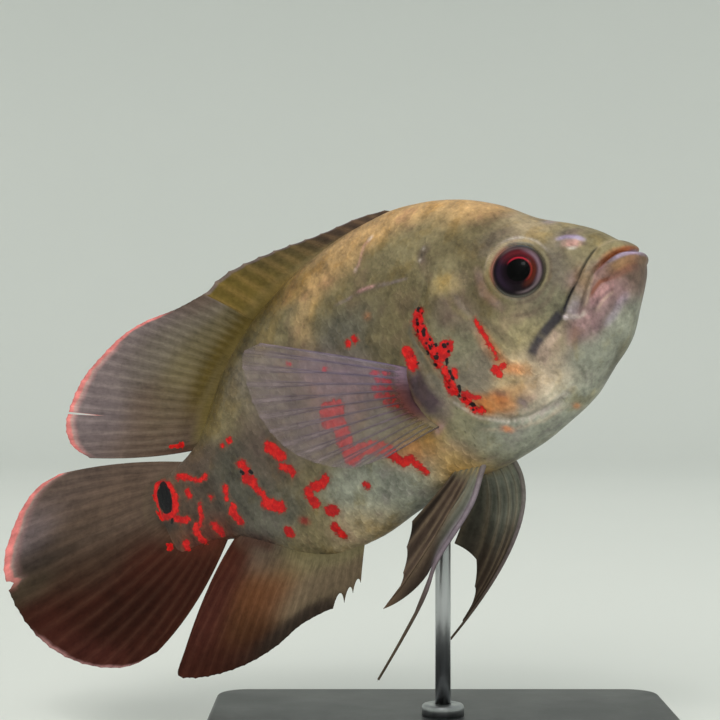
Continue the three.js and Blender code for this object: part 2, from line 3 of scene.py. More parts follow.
import bmesh
import bpy
import numpy as np
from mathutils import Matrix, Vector
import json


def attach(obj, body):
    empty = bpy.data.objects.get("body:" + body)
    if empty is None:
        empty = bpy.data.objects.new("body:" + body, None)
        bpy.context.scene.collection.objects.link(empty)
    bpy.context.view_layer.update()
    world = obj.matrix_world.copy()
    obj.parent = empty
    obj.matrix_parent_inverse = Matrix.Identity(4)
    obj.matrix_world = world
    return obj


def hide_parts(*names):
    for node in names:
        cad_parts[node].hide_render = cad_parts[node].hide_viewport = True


mm = 0.001
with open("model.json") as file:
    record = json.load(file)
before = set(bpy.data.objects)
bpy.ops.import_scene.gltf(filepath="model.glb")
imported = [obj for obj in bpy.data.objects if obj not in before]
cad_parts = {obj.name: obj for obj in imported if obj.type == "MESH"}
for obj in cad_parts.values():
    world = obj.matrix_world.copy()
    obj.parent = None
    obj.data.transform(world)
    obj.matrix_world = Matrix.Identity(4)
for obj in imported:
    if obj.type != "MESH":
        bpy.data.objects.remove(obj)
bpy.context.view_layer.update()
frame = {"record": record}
scene = bpy.context.scene

view = {"place": (-21.5, -518.4, 102.0), "lens": 100.0, "sensor": 36.0}


def makeCamera():
    data = bpy.data.cameras.new("photoView")
    data.lens, data.sensor_width = view["lens"], view["sensor"]
    data.clip_start, data.clip_end = 0.01, 30.0
    camera = bpy.data.objects.new("photoView", data)
    camera.location = Vector(view["place"]) * mm
    camera.rotation_euler = (math.radians(90), 0, 0)  # level, looking along +Y
    scene.collection.objects.link(camera)
    scene.camera = camera


makeCamera()
scene.view_settings.view_transform = "Standard"

# Paints, as sRGB
paints = {
    "khaki": "857a5c",
    "olive": "6c6146",
    "darkOlive": "54492f",
    "moss": "74705a",
    "sage": "86877a",
    "sand": "b09d7c",
    "tan": "bd9869",
    "ochre": "a27a50",
    "gold": "94733f",
    "cream": "b8a48f",
    "taupe": "766c5f",
    "rose": "907272",
    "umber": "5a4a40",
    "slate": "565349",
    "storm": "4a4840",
    "plum": "47363d",
    "violet": "a294ad",
    "ink": "0b0c10",
    "rust": "7d4630",
    "orange": "cf7436",
    "ember": "c41c16",
    "vermilion": "b00a0e",
    "crimson": "840b12",
    "maroon": "4a2119",
    "wine": "38150f",
    "mauve": "75686a",
    "greyBrown": "5f5049",
    "coral": "dd7f7c",
    "blush": "c08f8e",
    "soot": "2b2724",
    "bark": "6b5343",
    "drab": "5d5040",
    "coal": "2a231e",
    "cocoa": "3d2c22",
    "mahogany": "3a1c14",
    "oxblood": "43211b",
    "russet": "5a3823",
    "indigo": "3a3044",
    "bronze": "50431f",
    "ash": "4e5559",
    "salmon": "b07f70",
    "pearl": "b1a79d",
    "tintMauve": "e8d6ea",
    "tintGold": "f4e2b4",
}


def paint(name):
    text = paints.get(name, name)
    parts = [int(text[i : i + 2], 16) / 255 for i in (0, 2, 4)]
    return np.array([c / 12.92 if c < 0.04045 else ((c + 0.055) / 1.055) ** 2.4 for c in parts])


def rgba(name):
    return (*paint(name), 1.0)


# Curves and distances
def smooth(low, high, x):
    t = np.clip((x - low) / (high - low), 0, 1)
    return t * t * (3 - 2 * t)


def monotoneCurve(xs, values):
    xs, values = np.asarray(xs, float), np.asarray(values, float)
    rise = np.diff(values) / np.diff(xs)
    slope = np.zeros(len(xs))
    slope[0], slope[-1] = rise[0], rise[-1]
    both = rise[:-1] * rise[1:]
    total = np.where(both > 0, rise[:-1] + rise[1:], 1.0)
    slope[1:-1] = np.where(both > 0, 2 * both / total, 0.0)

    def curve(x):
        i = np.clip(np.searchsorted(xs, x, side="right") - 1, 0, len(xs) - 2)
        width = xs[i + 1] - xs[i]
        t = np.clip((x - xs[i]) / width, 0, 1)
        ease = t * t * (3 - 2 * t)
        lean = width * t * (1 - t) * (slope[i] * (1 - t) - slope[i + 1] * t)
        return values[i] * (1 - ease) + values[i + 1] * ease + lean

    return curve


def smoothPath(points, count=160):
    # a line through the points, at equal steps of its length
    points = np.asarray(points, float)
    knots = np.vstack([2 * points[0] - points[1], points, 2 * points[-1] - points[-2]])
    t = np.linspace(0, 1, 30, endpoint=False)[:, None]
    line = []
    for a, b, c, d in zip(knots, knots[1:], knots[2:], knots[3:]):
        first, middle, last = [max(np.linalg.norm(gap), 1e-9) ** 0.5 for gap in (b - a, c - b, d - c)]
        leave = ((b - a) / first - (c - a) / (first + middle) + (c - b) / middle) * middle
        reach = ((c - b) / middle - (d - b) / (middle + last) + (d - c) / last) * middle
        cubic = (2 * b - 2 * c + leave + reach) * t**3
        line.append(b + leave * t + (3 * c - 3 * b - 2 * leave - reach) * t**2 + cubic)
    line = np.vstack([*line, points[-1:]])
    length = np.append(0, np.cumsum(np.linalg.norm(np.diff(line, axis=0), axis=1)))
    steps = np.linspace(0, length[-1], count)
    return np.stack([np.interp(steps, length, line[:, k]) for k in range(line.shape[1])], 1)


def along(line, share):
    steps = np.linspace(0, 1, len(line))
    return np.stack([np.interp(share, steps, line[:, k]) for k in range(line.shape[1])], -1)


def nearest(place, path):
    # distance to a path, the share of the way along it, and which side of it (+ is its left)
    best = np.full(len(place), 1e9)
    share, side = np.zeros(len(place)), np.ones(len(place))
    count = len(path) - 1
    if count == 0:
        return np.linalg.norm(place - path[0], axis=1), share, side
    for i in range(count):
        a, step = path[i], path[i + 1] - path[i]
        out = place - a
        t = np.clip((out @ step) / max(step @ step, 1e-12), 0, 1)
        gap = np.linalg.norm(out - t[:, None] * step, axis=1)
        closer = gap < best
        best[closer] = gap[closer]
        share[closer] = (i + t[closer]) / count
        side[closer] = np.sign(step[0] * out[closer, 1] - step[1] * out[closer, 0] + 1e-12)
    return best, share, side


# The body
fish = {
    "snoutTip": 1.6,
    "snoutLevel": -5.0,
    "originS": 70.0,
    "bendRadius": 950.0,
    "pitch": 28.0,
    "yaw": 20.0,
    "roll": -6.0,
    "centre": (-8.0, 6.6, 100.0),
    "bellyFullness": 0.98,
    "coatDepth": 0.3,  # the skin lies this far inside the solids
    "reliefTo": 72,  # the relief of the head ends here
    "snoutEnd": 26,  # no scale grows ahead of this
    "driftFrom": 61,  # the marks of the left flank drift behind this
    "stations": [  # s, top, bottom, half width, widest level, fullness above it
        (2.2, -2.6, -7.2, 3.0, -5.0, 0.8),
        (3.5, -0.4, -9.6, 4.9, -5.2, 0.8),
        (5.2, 2.0, -11.8, 6.2, -5.6, 0.82),
        (8.6, 6.8, -15.8, 7.9, -6.0, 0.86),
        (14, 12.0, -21.9, 9.8, -6.2, 0.9),
        (21, 17.6, -26.2, 11.6, -5.4, 0.94),
        (29, 26.3, -30.3, 13.3, -4.4, 0.98),
        (38, 33.2, -32.6, 15.0, -3.4, 1.02),
        (48, 38.0, -34.6, 16.2, -2.6, 1.06),
        (58, 40.6, -35.2, 16.7, -2.0, 1.1),
        (70, 41.2, -33.9, 16.0, -1.6, 1.12),
        (84, 39.7, -34.8, 14.6, -1.2, 1.12),
        (97, 36.2, -36.4, 12.5, -1.6, 1.1),
        (108, 31.6, -35.6, 10.5, -2.4, 1.08),
        (118, 25.2, -31.4, 8.6, -3.4, 1.05),
        (127, 16.6, -24.0, 6.8, -4.4, 1.02),
        (135, 9.8, -18.3, 5.4, -4.8, 1.0),
        (142, 7.4, -16.6, 4.3, -4.9, 1.0),
        (148.5, 6.8, -16.0, 3.0, -5.0, 1.0),
    ],
    "swells": [  # s, height, reach along, reach up, lift
        (28, 14, 8, 4, 0.7),
        (19, 3, 5, 4, -0.5),
        (38, -12, 8, 8, 0.6),
        (44, 8, 4, 8, -0.4),
    ],
    "rows": [(1.6, 8.0, 34), (8.0, 50.0, 168), (50.0, 64.0, 46), (64.0, 153.0, 118)],
    "around": 264,
}


def turnAbout(axis, degrees):
    c, s = math.cos(math.radians(degrees)), math.sin(math.radians(degrees))
    i, j = [(1, 2), (2, 0), (0, 1)][axis]
    turn = np.eye(3)
    turn[i, i], turn[i, j], turn[j, i], turn[j, j] = c, -s, s, c
    return turn


pose = turnAbout(2, -fish["yaw"]) @ turnAbout(1, -fish["pitch"]) @ turnAbout(0, fish["roll"])
centre = np.array(fish["centre"])


def placeInWorld(straight):
    # straight: (originS - s, y, h) in mm, to metres in the shared frame
    radius = fish["bendRadius"]
    angle, out = straight[..., 0] / radius, radius + straight[..., 1]
    bent = np.stack([out * np.sin(angle), out * np.cos(angle) - radius, straight[..., 2]], -1)
    return (bent @ pose.T + centre) * mm


def backToStraight(world):
    radius = fish["bendRadius"]
    bent = (world / mm - centre) @ pose
    angle = np.arctan2(bent[:, 0], bent[:, 1] + radius)
    return np.stack([radius * angle, np.hypot(bent[:, 0], bent[:, 1] + radius) - radius, bent[:, 2]], 1)


def flankPlace(world):
    straight = backToStraight(world)
    return np.stack([fish["originS"] - straight[:, 0], straight[:, 2]], 1), straight[:, 1]


snout = (fish["snoutTip"], fish["snoutLevel"], fish["snoutLevel"], 0, fish["snoutLevel"], 0.8)
stations = np.array([snout, *fish["stations"]])


def stationRoot(s):
    return np.sqrt(np.maximum(0.0, s - fish["snoutTip"]))


measures = [monotoneCurve(stationRoot(stations[:, 0]), stations[:, k]) for k in range(1, 6)]


def sectionAt(s):
    top, bottom, half, widest, fullness = [curve(stationRoot(s)) for curve in measures]
    return top, bottom, half * (1 - 0.74 * smooth(148.0, 153.0, s)), widest, fullness


def flankAt(s, h):
    top, bottom, half, widest, fullness = sectionAt(s)
    above = h > widest
    reach = np.maximum(np.where(above, top - widest, widest - bottom), 1e-6)
    side = np.sqrt(np.maximum(0.0, 1 - ((h - widest) / reach) ** 2))
    swell = sum(
        lift * np.exp(-(((s - atS) / alongS) ** 2) - ((h - atH) / alongH) ** 2)
        for atS, atH, alongS, alongH, lift in fish["swells"]
    )
    return half * side ** np.where(above, fullness, fish["bellyFullness"]) + swell * side


def flankPoint(s, h, side):
    return np.stack([fish["originS"] - s, side * flankAt(s, h), h + 0 * s], -1)


def flankNormal(s, h, side):
    step = 0.4
    ahead = flankPoint(s - step, h, side) - flankPoint(s + step, h, side)
    up = flankPoint(s, h + step, side) - flankPoint(s, h - step, side)
    normal = np.cross(ahead, up) * -side
    return normal / np.linalg.norm(normal, axis=-1, keepdims=True)


# Forms of the head, as s and height
head = {
    "gape": [(1.2, -3.1), (2.2, -3.0), (4.7, -1.7), (8.5, -2.4), (12.4, -4.0), (16, -7.4), (20.4, -12.4)],
    "gapeDepth": 1.5,
    "upperLip": [(1.4, -1.6), (2.6, -1.3), (5.2, 0.1), (8.6, -0.3), (12, -2.0), (15.4, -5.0), (18.6, -8.8),
        (22, -12.6)],
    "upperWidth": [1.5, 2.3, 1.1],
    "lowerLip": [(1.2, -5.0), (2.2, -4.9), (5.0, -4.0), (8.4, -4.7), (11.2, -6.0), (14, -8.4), (17, -11.8),
        (20.4, -15.4)],
    "lowerWidth": [1.7, 1.7, 0.9],
    "lipLift": 0.86,
    "lipGroove": [(4.4, -6.6), (6.3, -7.0), (10.3, -7.6), (12.3, -7.6), (14, -8.6), (15.4, -9.8),
        (18.8, -12.6)],
    "jawFold": [(9.6, 1.5), (10.7, 0.7), (13.3, -1.1), (17.2, -4.2), (18.9, -5.3), (21.3, -7.4),
        (23.9, -9.7)],
    "jawStreak": [(23.9, -9.7), (27.3, -10.6), (30.4, -12.0), (34.6, -14.8)],
    "nostril": (14.9, 5.2),
    "nostrilTilt": 35.0,
    "nostrilCrest": [(17.6, 8.0), (15.3, 7.3), (13.0, 5.6), (11.7, 4.2)],
    "gillEdge": [(49, 21), (50.6, 16.5), (55, 9.5), (60.4, 3.2), (59.4, -5), (58.4, -13.5), (53.5, -22.8),
        (47.5, -28.2),
                 (40, -29.4), (31, -27.6), (25.8, -24.6)],
    "preopercle": [(47.6, 15), (45.6, 8), (44.6, 0), (43.7, -8), (42.4, -14), (38.6, -19.6), (32, -22.8),
        (26, -23.6)],
    "opercleRidge": [(45.2, 5), (50, 1), (55, -4)],
    "chinFold": [(14.6, -21.0), (18.7, -24.2), (23.1, -27.0), (27.6, -30.0)],
    "eye": (29.3, 5.0),
    "eyeRadius": 7.3,
    "eyeDepth": 3.25,
    "eyeSunk": 1.65,
    "gillFolds": [(57.6, -16.4), (53.4, -23.2), (47.0, -27.0), (40.2, -28.4), (34.4, -27.6),
        (28.6, -25.2)],
    "cheekCrease": [(21.6, -1.6), (25.6, -5.4), (31, -6.6), (36.6, -4.2), (39.4, 0.6)],
}


def eyeFrame(side):
    # the eye's middle on the skin, and its outward, backward and upward directions
    s, h = np.array(head["eye"][0]), np.array(head["eye"][1])
    middle, outward = flankPoint(s, h, side), flankNormal(s, h, side)
    backward = np.array([-1.0, 0, 0])
    backward -= outward * (backward @ outward)
    backward /= np.linalg.norm(backward)
    up = np.cross(backward, outward) * side
    return middle, outward, backward, up * np.sign(up[2])


def ridge(gap, width):
    return np.exp(-((gap / width) ** 2))


def middleOf(share):
    # 1 along the middle of a path, fading to nothing at its ends
    return np.sin(np.pi * np.clip(share, 0.0, 1.0)) ** 0.6


def lipLift(place, path, widths):
    gap, share, _ = nearest(place, smoothPath(path, 40))
    width = np.interp(share, [0, 0.45, 1], widths)
    taper = np.sqrt(np.maximum(0.04, 1 - share**8))
    roll = np.maximum(0, 1 - (gap / width) ** 2) ** 0.8
    return np.maximum(0, head["lipLift"] * taper * roll - 0.12)


def crease(place, name, count, size, width):
    # a ridge (+) or a groove (-) along a path of the head, fading towards its ends
    gap, share, _ = nearest(place, smoothPath(head[name], count))
    return size * middleOf(share) * ridge(gap, width)


def headRelief(place, straight):
    # lift of the skin off the plain body, for points given as s and height
    lift = np.maximum(
        lipLift(place, head["upperLip"], head["upperWidth"]),
        lipLift(place, head["lowerLip"], head["lowerWidth"]),
    )
    gap, share, _ = nearest(place, smoothPath(head["gape"], 40))
    lift -= head["gapeDepth"] * (1 - 0.6 * share) * ridge(gap, 0.33)
    lift += crease(place, "lipGroove", 30, -0.38, 0.36)
    gap, share, side = nearest(place, smoothPath(head["jawFold"], 30))
    deep = smooth(0.0, 0.35, share) * (1 - 0.3 * share)
    lift -= 0.85 * deep * ridge(gap, 0.36)
    lift += 0.3 * deep * ridge(gap - 1.2, 0.9) * (side < 0)
    gap, share, _ = nearest(place, smoothPath(head["jawStreak"], 20))
    lift -= 0.4 * (1 - share) * ridge(gap, 0.8)
    # slanting wrinkles of the jaw, between the lower lip and the chin
    gap, share, _ = nearest(place, np.array([(9.0, -9.4), (19.5, -15.4)]))
    slant = place @ np.array([0.87, 0.5]) + 0.5 * np.sin(place[:, 0] * 0.8)
    lift += 0.07 * np.sin(slant * 4.1) * ridge(gap, 2.6)
    # nostril: a slanting pit under a raised crest
    tilt = math.radians(head["nostrilTilt"])
    out = place - np.array(head["nostril"])
    length = out[:, 0] * math.cos(tilt) + out[:, 1] * math.sin(tilt)
    width = out[:, 1] * math.cos(tilt) - out[:, 0] * math.sin(tilt)
    lift -= 0.95 * np.exp(-((length / 1.15) ** 4) - (width / 0.5) ** 2)
    lift += 0.24 * np.exp(-((length / 2.2) ** 4) - ((width + 1.1) / 0.7) ** 2)
    lift += crease(place, "nostrilCrest", 20, 0.38, 0.55)
    # gill cover: raised towards its free edge, a groove behind it, and folds along its foot
    gap, share, side = nearest(place, smoothPath(head["gillEdge"], 80))
    free = smooth(0.0, 0.12, share) * (1 - smooth(0.86, 1.0, share))
    inside = side > 0
    lift += free * np.where(inside, 0.45 * ridge(gap, 5.0), 0)
    lift -= free * np.where(inside, 0.7 * ridge(gap, 0.2), 0.8 * ridge(gap, 0.8))
    gap, share, side = nearest(place, smoothPath(head["gillFolds"], 50))
    for off in (0.0, 1.15, 2.2):
        lift += (0.16 - 0.03 * off) * middleOf(share) * ridge(gap * side - off, 0.34)
    gap, share, side = nearest(place, smoothPath(head["preopercle"], 50))
    ends = smooth(0.0, 0.2, share) * (1 - smooth(0.8, 1.0, share))
    lift += ends * (0.2 * ridge(gap - 1.6, 1.6) * (side < 0) - 0.24 * ridge(gap, 0.5))
    lift += crease(place, "cheekCrease", 30, -0.16, 0.45)
    gap, share, _ = nearest(place, smoothPath(head["opercleRidge"], 12))
    lift += 0.25 * ridge(gap, 3.0)
    lift += crease(place, "chinFold", 20, -0.3, 0.36)
    # fleshy foot of the pectoral fin
    lift += 0.9 * np.exp(-(((place[:, 0] - 65.8) / 3.0) ** 2) - ((place[:, 1] + 12) / 7.6) ** 4)
    # orbit: a rim, and a bowl that the eye sits in
    for sign in (-1, 1):
        middle, outward, backward, up = eyeFrame(sign)
        off = straight - middle
        reach = np.hypot(off @ backward, off @ up)
        near = (straight[:, 1] * sign > 0) & (reach < 12)
        rim = 0.42 * ridge(reach - 7.9, 0.8) + 0.18 * ridge(reach - 9.8, 1.2)
        lift += np.where(near, rim - 2.1 * (1 - smooth(6.2, 7.3, reach)), 0)
    return lift


def pathArc(points):
    return np.append(0, np.cumsum(np.linalg.norm(np.diff(points, axis=0), axis=1)))


def bodyRows():
    spans = fish["rows"]
    stops = [np.linspace(0, 1, count, endpoint=False) * (high - low) + low for low, high, count in spans]
    stops[0] = fish["snoutTip"] + (stops[0] - fish["snoutTip"]) ** 1.6 / (8.0 - fish["snoutTip"]) ** 0.6
    return np.append(np.concatenate(stops)[1:], fish["rows"][-1][1])


def skinGrid():
    # rings of points, each from the belly keel up the right side and down the left
    half = fish["around"] // 2
    rows = bodyRows()
    grid, arcs = [], []
    angle = np.linspace(np.pi, 0, 361)
    for s in rows:
        top, bottom, _, widest, _ = sectionAt(s)
        h = widest + np.cos(angle) * np.where(np.cos(angle) > 0, top - widest, widest - bottom)
        y = flankAt(s, h)
        length = pathArc(np.stack([y, h], 1))
        share = length / length[-1]
        crowd = 1 + 0.9 * smooth(0.1, 0.3, share) * (1 - smooth(0.66, 0.86, share))
        weight = np.append(0, np.cumsum(np.diff(length) * (crowd[1:] + crowd[:-1]) / 2))
        steps = np.interp(np.linspace(0, weight[-1], half + 1), weight, length)
        h, y = np.interp(steps, length, h), np.interp(steps, length, y)
        right = np.stack([fish["originS"] - s + 0 * h, -y, h], 1)
        left = right[1:-1][::-1] * [1, -1, 1]
        grid.append(np.vstack([right, left]))
        arcs.append(steps)
    return rows, np.array(grid), np.array(arcs)


# Where things are on the unwrapped flank: along the body, and up from the belly keel
def bodyLength():
    s = np.linspace(fish["snoutTip"], fish["rows"][-1][1], 600)
    half = sectionAt(s)[2]
    return s, pathArc(np.stack([s, half], 1))


lengthS, lengthAlong = bodyLength()
flatScale = 0.005  # of the unwrap, for each millimetre
flankLevel = (0.25, 0.75)  # height of the middle line of each flank on the unwrap


def keelArc(s):
    # the arc from the belly keel to the middle line and to the back, and a table of it by height
    angle = np.linspace(np.pi, 0, 241)
    top, bottom, _, widest, _ = sectionAt(s)
    level = widest + np.cos(angle) * np.where(np.cos(angle) > 0, top - widest, widest - bottom)
    arc = pathArc(np.stack([flankAt(s, level), level], 1))
    return np.interp(widest, level, arc), arc[-1], arc, level


def gridNormals(grid):
    aroundStep = np.roll(grid, -1, axis=1) - np.roll(grid, 1, axis=1)
    alongStep = np.gradient(grid, axis=0)
    normal = np.cross(aroundStep, alongStep)
    size = np.linalg.norm(normal, axis=2, keepdims=True)
    return normal / np.maximum(size, 1e-9)


# Colour of the flesh: soft patches, s, height, reach along, reach up, paint, brightness. The brightness is
# partly the flesh's own tone and partly painted light: raised low on the body, where the lamps leave shade,
# and lowered on parts of the back and brow, which the lamps light strongly
patches = [
    (6, 4, 5, 4, "khaki", 1.0),
    (14, 9, 5, 4, "khaki", 1.1),
    (22, 16, 8, 4, "sand", 0.85),
    (33, 27.5, 9, 3.5, "tan", 0.95),
    (44, 34.5, 10, 4, "tan", 1.08),
    (46, 26, 7, 5, "khaki", 0.9),
    (44, 20, 6, 4, "olive", 0.75),
    (36, 20, 6, 4, "olive", 0.95),
    (29, 15.5, 6, 2.6, "taupe", 0.75),
    (20, 3, 5, 4, "taupe", 0.75),
    (14, 4, 4, 4, "khaki", 0.9),
    (9, 0.6, 4, 2, "khaki", 1.15),
    (14, -3.6, 4, 2.4, "rose", 1.15),
    (26, -6, 6, 4, "moss", 0.85),
    (34, -9, 6, 5, "khaki", 0.95),
    (30, -13, 5, 4, "khaki", 0.95),
    (40, 5, 4, 6, "olive", 0.66),
    (45, 9, 3, 2.2, "sand", 0.6),
    (48, 14, 4, 3, "khaki", 0.8),
    (49, 1, 4, 4, "umber", 1.1),
    (51, -5, 5, 6, "moss", 0.85),
    (51, -13, 5, 5, "taupe", 0.8),
    (34, -18, 6, 3.4, "cream", 0.75),
    (40, -18, 5, 3, "sand", 0.95),
    (45, -23.5, 6, 2.4, "ochre", 1.0),
    (36, -24.5, 6, 2.6, "cream", 1.1),
    (5, -8, 3.4, 4, "umber", 1.25),
    (12, -10, 4, 3, "rose", 0.8),
    (20, -14, 4.5, 3, "rose", 0.75),
    (12, -17, 5, 4, "sage", 0.95),
    (21, -22, 6, 4, "sage", 0.95),
    (31, -27.5, 8, 3.5, "sage", 1.15),
    (44, -32, 9, 3, "sage", 1.05),
    (60, 36.5, 10, 3.4, "tan", 0.85),
    (58, 27, 7, 5, "khaki", 0.8),
    (62, 20, 7, 6, "olive", 0.85),
    (72, 25, 8, 6, "olive", 0.95),
    (78, 31.5, 8, 3.6, "tan", 0.48),
    (90, 33, 8, 2.6, "gold", 1.1),
    (102, 27, 11, 5, "olive", 0.95),
    (100, 33.6, 14, 2.4, "darkOlive", 1.1),
    (112, 19, 8, 7, "taupe", 0.8),
    (122, 12, 7, 5, "olive", 1.0),
    (88, 21.5, 4.6, 6, "khaki", 0.68),
    (66, 9, 7, 7, "olive", 0.75),
    (82, 11, 8, 6, "slate", 0.95),
    (90, 4, 8, 7, "rose", 0.75),
    (104, 5, 9, 8, "taupe", 0.78),
    (115, 0, 7, 7, "umber", 0.82),
    (125, -4, 8, 8, "storm", 0.85),
    (136, 5, 6, 3, "umber", 0.9),
    (139, -5, 7, 5, "umber", 0.58),
    (147, -9, 6, 4, "cocoa", 1.3),
    (141, -14, 7, 4, "maroon", 1.0),
    (122, -20, 7, 5, "slate", 0.95),
    (112, -29, 8, 4, "olive", 1.05),
    (100, -33, 8, 4, "sand", 0.75),
    (92, -27, 7, 5, "sage", 0.95),
    (80, -28, 8, 5, "sage", 0.95),
    (76, -17, 6, 5, "moss", 0.85),
    (69, -30, 6, 4, "gold", 1.15),
    (72, -21, 5, 4, "gold", 1.05),
    (60, -27, 6, 5, "moss", 1.0),
    (54, -29, 7, 3, "sage", 0.95),
    (64, -12, 2.6, 6.5, "taupe", 0.75),
]

